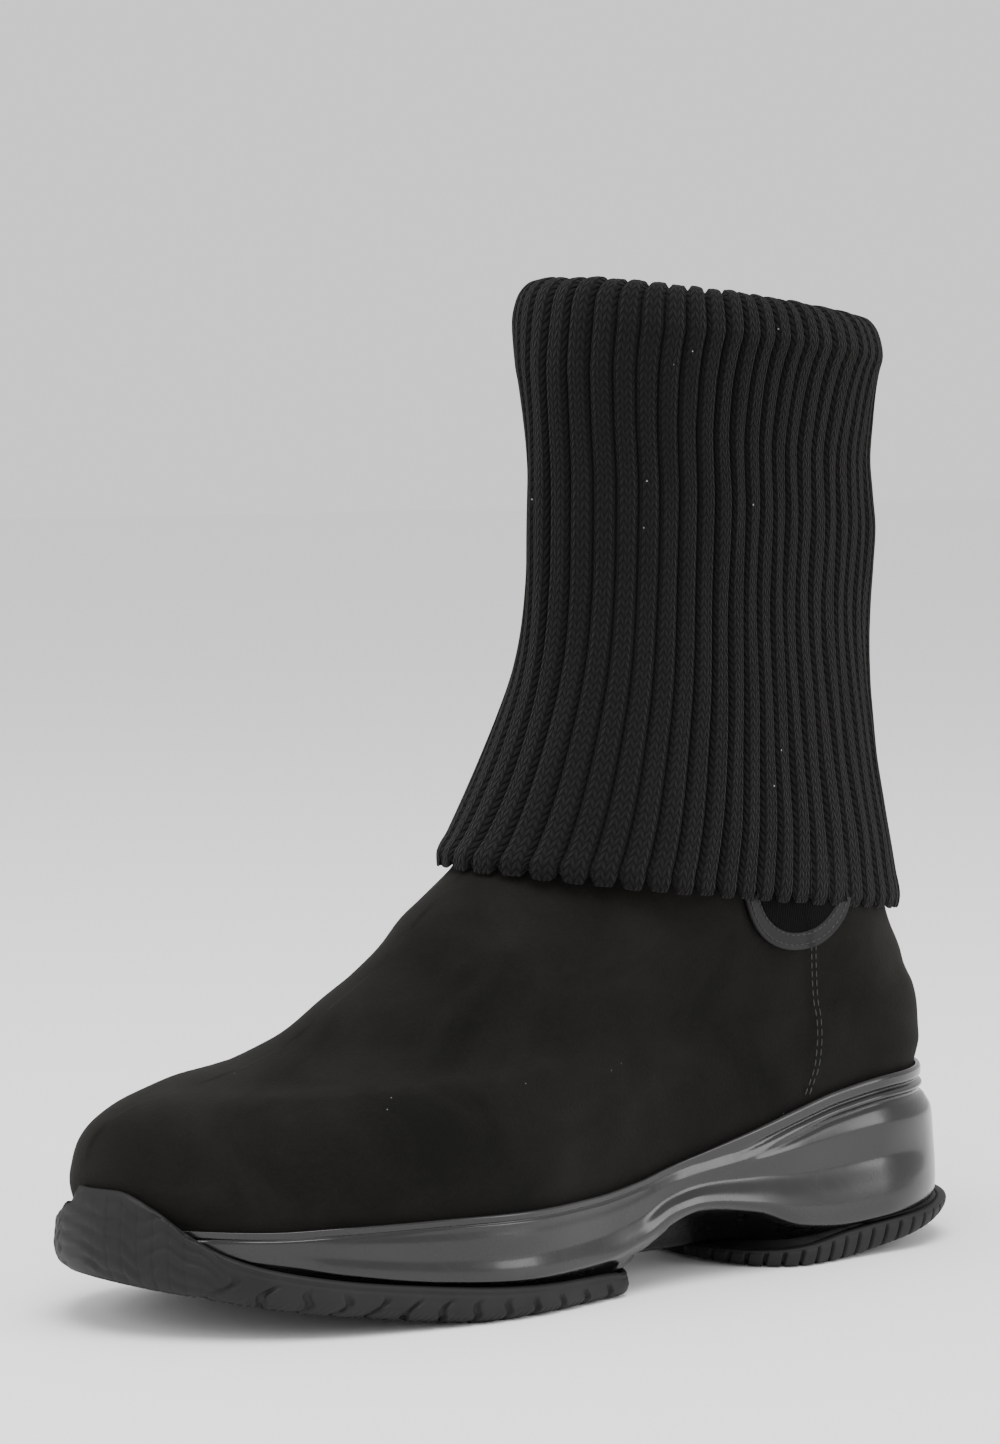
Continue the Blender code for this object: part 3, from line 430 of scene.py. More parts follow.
# Carbon-black rubber: moulded matt, a little dusty in its grooves
rubberLook = dict(dark="0e0e0e", light="181818", dust="343230", rough=0.62)
rubber, tree, shader = newMaterial("blackRubber", {
    "Roughness": rubberLook["rough"], "Specular IOR Level": 0.28})
where = addNode(tree, "ShaderNodeTexCoord").outputs["Object"]
clouds = noiseAt(tree, where, 0.014, 4.0, 0.6)
dust = noiseAt(tree, where, 0.0016, 3.0, 0.7)
tone = ramp(tree, clouds, [(0.30, linear(rubberLook["dark"])), (0.75, linear(rubberLook["light"]))])
dusted = ramp(tree, dust, [(0.62, grey(0.0)), (0.82, grey(0.35))])
dustOver(tree, shader, dusted, tone, rubberLook["dust"])
bumpFrom(tree, shader, dust, 0.00008, 0.6)

# Full-grain calf: smooth and satin, with a fine pebble
leather, tree, shader = newMaterial("blackCalf", {"Base Color": linear("080808"), "Roughness": 0.45,
                                                  "Specular IOR Level": 0.25})
where = addNode(tree, "ShaderNodeTexCoord").outputs["Object"]
pebble = addNode(tree, "ShaderNodeTexVoronoi", {"Scale": 1 / 0.0009}, {"Vector": where}).outputs["Distance"]
bumpFrom(tree, shader, pebble, 0.00006, 0.7)

# Woven elastic: fine ribs across the stretch
elasticRib = 0.0024
elastic, tree, shader = newMaterial("blackElastic", {
    "Base Color": linear("060606"), "Roughness": 0.9, "Specular IOR Level": 0.1})
where = addNode(tree, "ShaderNodeTexCoord").outputs["Object"]
bands = addNode(tree, "ShaderNodeTexWave", {"Scale": 1 / elasticRib, "bands_direction": "X"},
                {"Vector": where}).outputs["Fac"]
bumpFrom(tree, shader, bands, 0.0003, 0.8)

# Bonded polyester thread: twisted, with a slight shine on a black strand
thread, tree, shader = newMaterial("blackThread", {"Roughness": 0.5, "Base Color": linear("1c1c1c")})
where = addNode(tree, "ShaderNodeTexCoord").outputs["Object"]
bumpFrom(tree, shader, noiseAt(tree, where, 0.0004), 0.0001, 0.5)

# Lining leather: thin, matt and worn a little grey
lining, tree, shader = newMaterial("greyLiningLeather", {"Roughness": 0.7})
where = addNode(tree, "ShaderNodeTexCoord").outputs["Object"]
wear = noiseAt(tree, where, 0.012, 4.0)
tree.links.new(ramp(tree, wear, [(0.3, linear("191817")), (0.7, linear("262422"))]),
               shader.inputs["Base Color"])
bumpFrom(tree, shader, noiseAt(tree, where, 0.0009, 3.0), 0.0001, 0.6)
print("materials made")


def finishPiece(piece, material, nodes):
    piece.data.materials.append(material)
    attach(piece, "root")
    if nodes:
        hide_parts(*nodes)
    return piece


# Midsole: the solid's own outline, with the rim's bead and the two heel grooves cut finely
midsoleLook = dict(columns=420, beadWidth=0.0011, beadHeight=0.0004, lineDrop=0.0022,
                   lineDepth=0.00035, lineWidth=0.00035,
                   grooveDrop=0.0042, secondDrop=0.0074, grooveDepth=0.0010, grooveWidth=0.0007)


def rubberEdge(x, outer):
    at = x / length
    return np.where(outer > 0, fore["outer"](at), fore["inner"](at)) * heelRim


def crestHeight(x, outer):
    height = np.maximum(side["crest"](x / length) * heelRim, rubberEdge(x, outer) + boot["ledge"])
    return np.minimum(height, rimHeight(x) - boot["lowestWall"])


def foreShare(x):
    return np.clip((x / length - boot["foreStart"]) / 0.030 + 0.5, 0, 1)


def foreInner(x):
    wrap = fore["wrap"](x / length)
    return -boot["skin"] * (1 - wrap) + boot["clear"] * wrap


def makeMidsole(look):
    turns = turnsOf(look["columns"])
    back, flare, clear, lip = boot["setback"], boot["flare"], boot["clear"], boot["lip"]

    def wall(drop):
        return lambda x, outer: rimHeight(x) - drop * (rimHeight(x) - crestHeight(x, outer))

    def out(column, share=1.0):
        return lambda x: share * flare * side[column](x / length)

    def underOut(x):
        return (foreInner(x) - clear) * foreShare(x)

    def face(x, outer):
        height = np.maximum(side["face"](x / length) * heelRim, rubberEdge(x, outer) + clear)
        return np.minimum(height, crestHeight(x, outer) - 0.0004)

    def keelHeight(x, outer):
        return np.maximum(keel["keel"](x / length) * heelRim, soleBottom(x) + boot["tread"] + clear)

    def between(share):
        return lambda x, outer: face(x, outer) + share * (keelHeight(x, outer) - face(x, outer))

    def pinched(share):
        return lambda x: 1 + share * (keel["pinch"](x / length) - 1)

    def under(share):
        return lambda x: underOut(x) + (1 - share) * 0.6 * out("flare")(x) * (1 - foreShare(x))

    def flat(value):
        return lambda x: value + 0 * x

    def rim(drop):
        return lambda x, outer: rimHeight(x) - drop

    def faceOut(x):
        return out("flare", 0.72)(x) * (1 - foreShare(x)) + underOut(x)

    rings = [
        (soleRing(turns, flat(-lip), rim(boot["cup"])), 2),
        (soleRing(turns, flat(-lip), rim(0.25 * lip)), 3),
        (soleRing(turns, flat(-lip / 2), rim(0.0)), 3),
        (soleRing(turns, flat(0.0), wall(0.035)), 28),
        (soleRing(turns, flat(0.0), wall(0.19), outBack=0.0), 10),
        (soleRing(turns, out("body"), wall(0.40), outBack=0.44 * back), 8),
        (soleRing(turns, out("hollow"), wall(0.63), outBack=0.54 * back), 8),
        (soleRing(turns, out("flare", 0.86), wall(0.87), outBack=0.60 * back), 5),
        (soleRing(turns, out("flare"), crestHeight, outBack=0.58 * back), 4),
        (soleRing(turns, faceOut, face, outBack=0.56 * back), 5),
        (soleRing(turns, under(0.45), between(0.30), outBack=0.56 * back, pinch=pinched(0.55)), 4),
        (soleRing(turns, under(0.80), between(0.62), outBack=0.56 * back, pinch=pinched(0.86)), 4),
        (soleRing(turns, under(1.00), keelHeight, outBack=0.55 * back, pinch=pinched(1.0)), 0),
    ]
    grid = smoothRows([ring for ring, _ in rings], [count for _, count in rings[:-1]])
    normals = gridNormals(grid)
    x = grid[..., 0]
    drop = rimHeight(x) - grid[..., 2]
    rows = np.arange(len(grid))[:, None]
    onWall = (rows > 6) & (rows < 62)
    at = x / length
    fine = bump(drop, look["lineDrop"], look["lineWidth"]) * look["lineDepth"] * step(at, 0.36, 0.50)
    beads = step(0.36 - at, 0.0, 0.10)
    first = bump(drop, look["grooveDrop"], look["grooveWidth"]) * look["grooveDepth"] * beads
    second = bump(drop, look["secondDrop"], look["grooveWidth"] * 1.2) * look["grooveDepth"] * 1.2
    middle = 0.5 * (look["grooveDrop"] + look["secondDrop"])
    bead = bump(drop, middle, look["beadWidth"]) * look["beadHeight"]
    relief = (bead - second) * side["beads"](at) - fine - first
    grid = grid + normals * (relief * onWall)[..., None]
    count = grid.shape[1]
    faces = gridFaces(len(grid), count) + ladder(list(range(count)))
    faces += ladder([(len(grid) - 1) * count + j for j in range(count)])
    return meshFrom("midsole_moulded", grid.reshape(-1, 3), faces)


midsole = finishPiece(makeMidsole(midsoleLook), moulded, ["midsole"])
print("midsole made", len(midsole.data.polygons))

# Forefoot tread: leaning lugs along the edge, bars underneath, a rippled bumper at the toe
foreLook = dict(columns=1100, lugs=14, lugDepth=0.0011, barDepth=0.0018, gap=0.26, lean=0.55,
                ripples=5, rippleDepth=0.00055, sipes=0.0046, sipeDepth=0.00022,
                crossPitch=0.0021, crossWidth=0.0003, crossDepth=0.00025, lipBevel=0.0006,
                across=26)


def makeForefootTread(look):
    start = boot["foreStart"] * length
    turns = turnsOf(look["columns"])
    share = (1 - np.cos(turns)) / 2
    even = np.where(turns <= np.pi, turns / np.pi, 2 - turns / np.pi)
    mixed = 0.35 * share + 0.65 * even         # stations closer to even along the edge
    turns = np.where(turns <= np.pi, np.arccos(1 - 2 * mixed), 2 * np.pi - np.arccos(1 - 2 * mixed))

    def skin(x):
        return boot["skin"] * 0.8 + (boot["bumper"] - boot["skin"] * 0.8) * fore["wrap"](x / length)

    def bed(x, outer):
        return soleBottom(x) + boot["tread"]

    def lipAt(drop):
        return lambda x, outer: np.maximum(rubberEdge(x, outer), bed(x, outer) + boot["ledge"]) - drop

    def mixAt(part):
        return lambda x, outer: soleBottom(x) + part * (lipAt(0.0)(x, outer) - soleBottom(x))

    def ring(out, height):
        return soleRing(turns, out, height, outBack=float(out(np.array(start))), back=start, backRound=0.045)

    rings = [
        (ring(foreInner, bed), 2),
        (ring(foreInner, lipAt(look["lipBevel"])), 2),
        (ring(lambda x: 0.5 * (foreInner(x) + skin(x)), lipAt(0.0)), 2),
        (ring(skin, mixAt(0.93)), 8),
        (ring(lambda x: skin(x) + 0.0005, mixAt(0.66)), 8),
        (ring(lambda x: skin(x) + 0.0008, mixAt(0.40)), 8),
        (ring(lambda x: skin(x) - 0.0004, mixAt(0.12)), 5),
        (ring(lambda x: skin(x) - 0.0030, lambda x, outer: soleBottom(x)), 0),
    ]
    grid = smoothRows([made for made, _ in rings], [count for _, count in rings[:-1]])
    normals = gridNormals(grid)
    x, z = grid[..., 0], grid[..., 2]
    at = x / length
    outer = np.where(turns <= np.pi, 1.0, -1.0)[None, :] + 0 * x
    low = soleBottom(x)
    high = lipAt(0.0)(x, outer)
    rise = np.clip((z - low) / (high - low), 0, 1)
    rows = np.arange(len(grid))[:, None]
    outside = rows >= 6
    # arc along the outer edge, from the heel side to the toe
    edge = grid[14]
    arc = np.r_[0, np.cumsum(np.linalg.norm(np.diff(edge, axis=0), axis=1))]
    arc = np.minimum(arc, arc[-1] - arc)
    pitch = 0.87 * (length - start) / look["lugs"]
    toe = step(at, 0.90, 0.955)
    phase = ((x - start) + look["lean"] * (z - low) + 0.0012 * np.sin(z * 900)) / pitch
    tooth = np.abs((phase % 1.0) - 0.5) * 2
    gap = step(tooth, 1 - look["gap"], 1 - look["gap"] * 0.45)
    lower = 1 - step(rise, 0.42, 0.72)
    lugs = gap * lower * look["lugDepth"] * (1 - toe)
    crossSipes = bump((x + 0.8 * z) % look["crossPitch"], look["crossPitch"] / 2, look["crossWidth"])
    crossSipes = crossSipes * (1 - step(rise, 0.15, 0.38)) * look["crossDepth"] * (1 - toe)
    wave = 0.10 * np.sin(arc[None, :] * 2 * np.pi / 0.030) + 0.05 * np.sin(arc[None, :] * 2 * np.pi / 0.013)
    ripple = np.cos(2 * np.pi * look["ripples"] * (rise + wave)) * 0.5 + 0.5
    ripples = (1 - ripple) ** 2 * look["rippleDepth"] * toe
    ripples = ripples * step(rise, 0.02, 0.10) * (1 - step(rise, 0.90, 0.98))
    sipes = bump(arc[None, :] % look["sipes"], look["sipes"] / 2, 0.00028) * look["sipeDepth"] * toe
    seamLine = bump(rise, 0.80, 0.05) * 0.00025 * (1 - toe)
    grid = grid - normals * ((lugs + crossSipes + ripples + sipes + seamLine) * outside)[..., None]
    grid[-1, :, 2] += gap[-1] * look["barDepth"] * (1 - toe[-1])
    points = grid.reshape(-1, 3)
    count = grid.shape[1]
    faces = gridFaces(len(grid), count) + ladder(list(range(count)))

    def barLift(x, share):
        # bars kinked in the middle, like a shallow chevron
        at = x / length
        kink = abs(share - 0.5) * 0.016
        tooth = abs((((x - start) + kink) / pitch) % 1.0 - 0.5) * 2
        inGap = step(tooth, 1 - look["gap"], 1 - look["gap"] * 0.45)
        groove = bump(share, 0.5, 0.02)
        return max(inGap, groove) * look["barDepth"] * (1 - step(at, 0.93, 0.96))

    last = list(range((len(grid) - 1) * count, len(grid) * count))
    points, bottom = capAcross(points, last, look["across"], barLift)
    return meshFrom("forefoot_tread", points, faces + bottom)


forefoot = finishPiece(makeForefootTread(foreLook), rubber, ["outsole_forefoot"])
print("forefoot tread made", len(forefoot.data.polygons))

# Heel tread: rounded ribs round the edge
heelLook = dict(columns=900, pitch=0.0052, depth=0.0012, gap=0.34, barDepth=0.0014, across=20, front=0.335)


def makeHeelTread(look):
    turns = turnsOf(look["columns"])
    even = np.where(turns <= np.pi, turns / np.pi, 2 - turns / np.pi)
    share = 0.5 * (1 - np.cos(turns)) / 2 + 0.5 * even
    outer = np.where(turns <= np.pi, 1.0, -1.0)
    front = look["front"] * length

    def top(x):
        return keel["keel"](x / length) * heelRim - boot["clear"]

    def low(x):
        return heelPad["bevel"](x / length) * heelRim

    def ring(inset, part):
        start, end = inset, front - inset
        x = start + (end - start) * share
        half = heelPad["half"](x / length) * boot["heel"] - inset
        half = half * closeEnd(x - start, 0.130 * length - inset) * closeEnd(end - x, 0.092 * length - inset)
        height = low(x) + part * (top(x) - low(x))
        return np.stack([x, planCentre(x) + outer * np.maximum(half, 0), height], axis=1)

    rings = [(ring(0.0030, 1.0), 2), (ring(0.0010, 1.0), 2), (ring(0.0002, 0.93), 3), (ring(0.0000, 0.75), 7),
             (ring(0.0002, 0.42), 7), (ring(0.0009, 0.14), 5), (ring(0.0032, 0.0), 0)]
    grid = smoothRows([made for made, _ in rings], [count for _, count in rings[:-1]])
    normals = gridNormals(grid)
    x, z = grid[..., 0], grid[..., 2]
    edge = grid[8]
    arc = np.r_[0, np.cumsum(np.linalg.norm(np.diff(edge, axis=0), axis=1))]
    arc = np.minimum(arc, arc[-1] - arc)
    rise = np.clip((z - low(x)) / (top(x) - low(x) + 1e-9), 0, 1)
    tooth = np.abs(((arc[None, :] + 0.25 * (z - low(x))) / look["pitch"]) % 1.0 - 0.5) * 2
    gap = step(tooth, 1 - look["gap"], 1.0)
    rows = np.arange(len(grid))[:, None]
    cut = gap * (1 - step(rise, 0.74, 0.90)) * look["depth"] * (rows > 4)
    lipLine = bump(rise, 0.86, 0.05) * 0.0003 * (rows > 4)
    grid = grid - normals * (cut + lipLine)[..., None]
    grid[-1, :, 2] += gap[-1] * look["barDepth"] * 0.8
    points = grid.reshape(-1, 3)
    count = grid.shape[1]
    faces = gridFaces(len(grid), count) + ladder(list(range(count)))

    def barLift(x, share):
        tooth = abs((x / look["pitch"] * 0.85) % 1.0 - 0.5) * 2
        return max(step(tooth, 1 - look["gap"], 1.0), bump(share, 0.5, 0.03)) * look["barDepth"]

    last = list(range((len(grid) - 1) * count, len(grid) * count))
    points, bottom = capAcross(points, last, look["across"], barLift)
    return meshFrom("heel_tread", points, faces + bottom)


heelTread = finishPiece(makeHeelTread(heelLook), rubber, ["outsole_heel"])
print("heel tread made", len(heelTread.data.polygons))

# Upper: one suede shell, tucked behind the sole's lip, with the back panel lapped over the quarters
upperLook = dict(columns=360, wall=0.0016, lap=0.00045, lapBlend=0.0012, wave=0.00025)
seamLine = curveThrough([0.0400, 0.0465, 0.0560, 0.0650, 0.0730, 0.0870, 0.1100],
                        [0.0730, 0.0701, 0.0663, 0.0655, 0.0660, 0.0693, 0.0760])   # x of the seam over z
# creases on both sides: points (x, z), depth (below 0 is a ridge) and width
creases = [
    ([(0.150, 0.098), (0.158, 0.086), (0.170, 0.076), (0.186, 0.066)], 0.0007, 0.0050),
    ([(0.166, 0.092), (0.178, 0.081), (0.194, 0.070)], -0.0006, 0.0050),
    ([(0.186, 0.080), (0.196, 0.070), (0.206, 0.058), (0.212, 0.046)], 0.0006, 0.0055),
    ([(0.112, 0.086), (0.128, 0.078), (0.146, 0.066), (0.160, 0.050)], -0.0005, 0.0070),
    ([(0.084, 0.080), (0.098, 0.070), (0.108, 0.058)], 0.0005, 0.0060),
    ([(0.205, 0.052), (0.222, 0.046), (0.240, 0.042)], -0.0005, 0.0070),
    ([(0.030, 0.075), (0.042, 0.070), (0.056, 0.068)], 0.0005, 0.0045),
]


def cupRing(level, turns):
    inset = boot["lip"] + boot["clear"]

    def height(x, outer):
        return rimHeight(x) - boot["cup"] * (1 - level) + boot["clear"]

    return soleRing(turns, lambda x: -inset + 0 * x, height)


def upperRing(level, turns):
    if level <= 1:
        return cupRing(level, turns)
    share = (1 - np.cos(turns)) / 2
    outer = np.where(turns <= np.pi + 1e-9, 1.0, -1.0)
    row = min(level, 11)
    get = {name: float(column(row)) for name, column in upperLevels.items()}
    start, end = get["backX"] * length, get["frontX"] * length
    backZ, frontZ = get["backZ"] * boot["instep"], get["frontZ"] * boot["instep"]
    shaft, oval, toe, heel = get["shaft"], boot["ankleHalf"], get["toe"] * length, get["heel"] * length
    if level > 11:
        rise = level - 11
        topFront = boot["collarFront"] * length - boot["knit"] - boot["suede"] / 2
        topBack = topFront - boot["collarLength"]
        end, start = end + (topFront - end) * rise, start + (topBack - start) * rise
        oval += (boot["collarWidth"] / 2 - oval) * rise
        backZ += (boot["collar"] * 0.97 - backZ) * rise
        frontZ += (boot["collar"] - frontZ) * rise
        shaft += (1 - shaft) * rise
        toe += ((end - start) * 0.42 - toe) * rise
        heel += ((end - start) * 0.58 - heel) * rise
    x = start + (end - start) * share
    onRim = rimHeight(x) + boot["clear"] + (row - 1) * boot["rimStep"]
    z = get["follow"] * onRim + (1 - get["follow"]) * (backZ + (frontZ - backZ) * share)
    foot = planHalf(x) * get["width"]
    half = (foot + (oval - foot) * shaft) * closeEnd(x - start, heel) * closeEnd(end - x, toe)
    points = np.stack([x, planCentre(x) * (1 - shaft) + outer * half, z], axis=1)
    if level < 2:
        points = cupRing(1.0, turns) + (points - cupRing(1.0, turns)) * (level - 1)
    return points


def creaseDepth(x, z):
    depth = np.zeros_like(x)
    for points, amount, width in creases:
        nearest = np.full_like(x, 1.0)
        for (ax, az), (bx, bz) in zip(points, points[1:]):
            share = ((x - ax) * (bx - ax) + (z - az) * (bz - az)) / ((bx - ax) ** 2 + (bz - az) ** 2)
            share = np.clip(share, 0, 1)
            nearest = np.minimum(nearest, np.hypot(x - ax - share * (bx - ax), z - az - share * (bz - az)))
        depth += amount * np.exp(-(nearest / width) ** 2)
    return depth


def makeUpper(look):
    turns = turnsOf(look["columns"])
    levels = [0, 1, 1.5, 2, 2.5, 3, 3.5, 4, 5, 6, 7, 8, 9, 10, 11, 11.5, 12]
    counts = [2, 4, 4, 4, 4, 4, 4, 6, 6, 6, 6, 6, 6, 6, 4, 4]
    grid = smoothRows([upperRing(level, turns) for level in levels], counts)
    normals = -gridNormals(grid)       # these rows go up, so the cross product points in
    x, z = grid[..., 0], grid[..., 2]
    outer = np.where(turns <= np.pi, 1.0, -1.0)[None, :] + 0 * x
    above = step(z - rimHeight(x), 0.001, 0.008) * (1 - step(z, 0.115, 0.125))
    dent = creaseDepth(x, z)
    behind = step(seamLine(z) - x, -look["lapBlend"] / 2, look["lapBlend"] / 2)
    wave = look["wave"] * np.sin(x * 210 + 1.3 * np.sin(z * 160)) * np.sin(z * 190 + outer)
    outside = grid + normals * ((look["lap"] * behind - dent + wave) * above)[..., None]
    inside = grid - normals * look["wall"]
    both = np.concatenate([outside, inside[::-1]])
    count = grid.shape[1]
    piece = meshFrom("upper_suede", both.reshape(-1, 3), gridFaces(len(both), count, wrapRows=True))
    return piece, outside, -gridNormals(outside)


upper, suedeGrid, suedeNormals = makeUpper(upperLook)
finishPiece(upper, suede, ["upper"])
print("upper made", len(upper.data.polygons))


def onSuede(x, z, outer, lift):
    # the point over x, z on that side of the upper, lifted off it
    half = suedeGrid.shape[1] // 2
    columns = np.arange(1, half) if outer > 0 else np.arange(suedeGrid.shape[1] - 1, half, -1)
    crossing = []
    for points, normals in zip(suedeGrid[8:, columns], suedeNormals[8:, columns]):
        values = [points[:, 2], points[:, 1], normals[:, 0], normals[:, 1], normals[:, 2]]
        crossing.append([np.interp(x, points[:, 0], value) for value in values])
    crossing = np.array(crossing)
    y, a, b, c = [np.interp(z, crossing[:, 0], crossing[:, i]) for i in (1, 2, 3, 4)]
    normal = np.array([a, b, c]) / math.sqrt(a * a + b * b + c * c)
    return np.array([x, y, z]) + normal * lift


# Cuff: two layers of rib knit folded down over the collar
cuffLook = dict(ribs=48, perRib=11, grooveDepth=0.0016, grooveWidth=0.13, waleDepth=0.00016,
                scallop=0.0011, swell=0.00035, trimRoom=0.0021, outlinePoints=1800,
                fold=0.0110, setback=0.0080, wall=0.0085, peak=0.39)
# where the grooves lie: share of the way round, in ribs, over the rib's number from the front
ribSpread = curveThrough([0, 3, 6, 9, 12, 15, 18, 22, 48],
                         [-0.55, 2.92, 6.10, 8.95, 11.60, 14.25, 17.40, 21.45, 47.45])


def evenRound(ring, shares):
    # the ring's points at equal shares of its own length
    closed = np.vstack([ring, ring[:1]])
    run = np.r_[0, np.cumsum(np.linalg.norm(np.diff(closed[:, :2], axis=0), axis=1))]
    at = (shares % 1.0) * run[-1]
    return np.stack([np.interp(at, run, closed[:, i]) for i in range(3)], axis=1)


def cuffRing(level, out, lift, shares, look):
    turns = turnsOf(look["outlinePoints"])
    get = {name: float(column(level)) for name, column in cuffLevels.items()}
    start, end = get["backX"] * length - out, get["frontX"] * length + out
    span = end - start
    half = get["half"] * length + out
    reach = span * look["peak"]
    along, across = np.cos(turns), np.sin(turns)
    stretch = (np.abs(along) ** get["power"] + np.abs(across) ** get["power"]) ** (-1 / get["power"])
    along, across = along * stretch, across * stretch
    x = end - reach + along * np.where(along > 0, reach, span - reach)
    share = (x - start) / span
    z = get["backZ"] * boot["height"] + (get["frontZ"] - get["backZ"]) * boot["height"] * share + lift
    return evenRound(np.stack([x, across * half, z], axis=1), shares)


def collarRing(level, out, sideOut, shares, look, lift=0.0):
    turns = turnsOf(look["outlinePoints"])
    ends = upperRing(level, np.array([0.0, np.pi]))
    span = ends[1, 0] - ends[0, 0]
    middle = ends[1, 0] - span * look["peak"]
    along = np.cos(turns)
    x = middle + along * span * np.where(along > 0, look["peak"], 1 - look["peak"])
    share = np.clip((x - ends[0, 0]) / span, 0, 1)
    ringTurns = np.arccos(1 - 2 * share)
    outer = np.where(turns <= np.pi, 1.0, -1.0)
    upperTurns = np.where(outer > 0, ringTurns, 2 * np.pi - np.clip(ringTurns, 1e-6, np.pi - 1e-6))
    points = upperRing(level, upperTurns)
    points[:, 0] += along * out
    points[:, 1] += outer * (out + sideOut) * np.abs(np.sin(turns))
    points[:, 2] += lift
    return evenRound(points, shares)


def makeCuff(look):
    ribs, perRib = look["ribs"], look["perRib"]
    number = np.arange(ribs * perRib) / perRib
    shares = ribSpread(number) / ribs
    phase = number % 1.0
    inner = boot["suede"] + 3 * boot["clear"]
    clear = boot["clear"]
    rings = [(collarRing(12, 2 * clear, 0, shares, look, 2 * clear), 2, 0),
             (collarRing(11.5, 2 * clear, look["trimRoom"], shares, look), 3, 0),
             (collarRing(11.05, 2 * clear, look["trimRoom"], shares, look), 4, 0.3)]
    rings.append((cuffRing(0, -0.0012, -0.0010, shares, look), 4, 0.7))      # the hem's rounded edge
    levels = [0.12, 0.5, 1, 1.5, 2, 2.5, 3, 3.5, 4, 4.5, 5, 5.5, 6, 6.5, 7, 7.5]
    rings += [(cuffRing(level, 0.0, 0.0, shares, look), 6, 1.0) for level in levels]
    rings.append((cuffRing(8, 0.0, 0.0, shares, look), 7, 1.0))
    for turn, count, depth in ((35, 7, 1.0), (68, 6, 1.0), (95, 6, 0.9)):
        angle = math.radians(turn)
        rings.append((cuffRing(8, -look["setback"] * (1 - math.cos(angle)), look["fold"] * math.sin(angle),
                               shares, look), count, depth))
    angle = math.radians(145)
    rings.append((cuffRing(8, -look["setback"] - look["wall"] * 0.62 * -math.cos(angle),
                           look["fold"] * math.sin(angle), shares, look), 6, 0.8))
    for level, count in ((7.0, 8), (5.8, 8), (4.6, 6)):
        rings.append((cuffRing(level, -look["wall"], 0.0, shares, look), count, 0.7))
    rings += [(collarRing(12, -inner - boot["knit"], 0, shares, look, 0.002), 3, 0.4),
              (collarRing(11.7, -inner - boot["knit"], 0, shares, look), 2, 0.2),
              (collarRing(11.7, -inner, 0, shares, look), 2, 0),
              (collarRing(12, -inner, 0, shares, look, 2 * clear), 0, 0)]
    grid = smoothRows([ring for ring, _, _ in rings], [count for _, count, _ in rings[:-1]])
    depths = []
    for (_, count, depth), (_, _, following) in zip(rings, rings[1:]):
        depths += [depth + (following - depth) * k / max(count, 1) for k in range(count)]
    depths = np.array(depths + [rings[-1][2]])[:, None]
    normals = gridNormals(grid)
    # a rib is flat-topped with a narrow groove on each side of it, and three soft columns of stitches
    groove = np.exp(-(np.minimum(phase, 1 - phase) / look["grooveWidth"]) ** 2)
    wales = np.abs(np.sin(3 * np.pi * phase)) ** 0.7
    relief = (look["waleDepth"] * wales - look["grooveDepth"] * groove)[None, :] * depths
    along = np.r_[0, np.cumsum(np.linalg.norm(np.diff(grid, axis=0), axis=2).mean(axis=1))]
    swell = np.sin(along[:, None] * 95 + 3.1 * np.sin(number[None, :] * 0.9)) * np.sin(number[None, :] * 1.7)
    swell = look["swell"] * swell
    grid = grid + normals * (relief + swell * depths)[..., None]
    hemRows = np.exp(-((along - along[9]) / 0.004) ** 2)[:, None]
    grid[..., 2] += hemRows * look["scallop"] * (groove[None, :] * 1.6 - 0.5)
    rowCount, count = grid.shape[:2]
    faces = gridFaces(rowCount, count, wrapRows=True)
    u = np.append(number, ribs)
    v = np.append(along, along[-1] + 0.002)
    i = np.repeat(np.arange(rowCount), count)
    j = np.tile(np.arange(count), rowCount)
    uvs = np.stack([np.stack([u[j], v[i]], 1), np.stack([u[j + 1], v[i]], 1),
                    np.stack([u[j + 1], v[i + 1]], 1), np.stack([u[j], v[i + 1]], 1)], axis=1)
    return meshFrom("cuff_knit", grid.reshape(-1, 3), faces, list(uvs))


cuff = finishPiece(makeCuff(cuffLook), knit, ["cuff"])
print("cuff made", len(cuff.data.polygons))

# Gore: U-shaped trim with a raised outer bead, and the elastic inside it, on both sides
goreLook = dict(x=0.0740, z=0.1080, radius=0.0210, width=0.0050, height=0.0010, gap=0.0004,
                panelRows=8, panelColumns=20)


def makeTrim(name, outer, look):
    # share of the width from the outer edge, and rise; the bead stands up near that edge
    profile = [(0.0, 0.0), (0.0, 0.6), (0.05, 1.15), (0.12, 1.5), (0.20, 1.35), (0.28, 0.95), (0.40, 0.9),
               (0.60, 0.9), (0.80, 0.9), (0.92, 0.75), (1.0, 0.4), (1.0, 0.0), (0.5, 0.0)]
    rows = []
    for share, rise in profile:
        row = []
        for turn in np.radians(np.linspace(-180, 0, 73)):
            radius = look["radius"] - look["width"] * share
            x, z = look["x"] + radius * math.cos(turn), look["z"] + radius * math.sin(turn)
            row.append(onSuede(x, z, outer, look["gap"] + look["height"] * rise))
        rows.append(row)
    grid = np.array(rows)
    n, m = grid.shape[:2]
    faces = [(i * m + j, i * m + j + 1, ((i + 1) % n) * m + j + 1, ((i + 1) % n) * m + j)
             for i in range(n) for j in range(m - 1)]
    faces += [tuple(i * m for i in range(n)), tuple(i * m + m - 1 for i in reversed(range(n)))]
    return meshFrom(name, grid.reshape(-1, 3), faces)


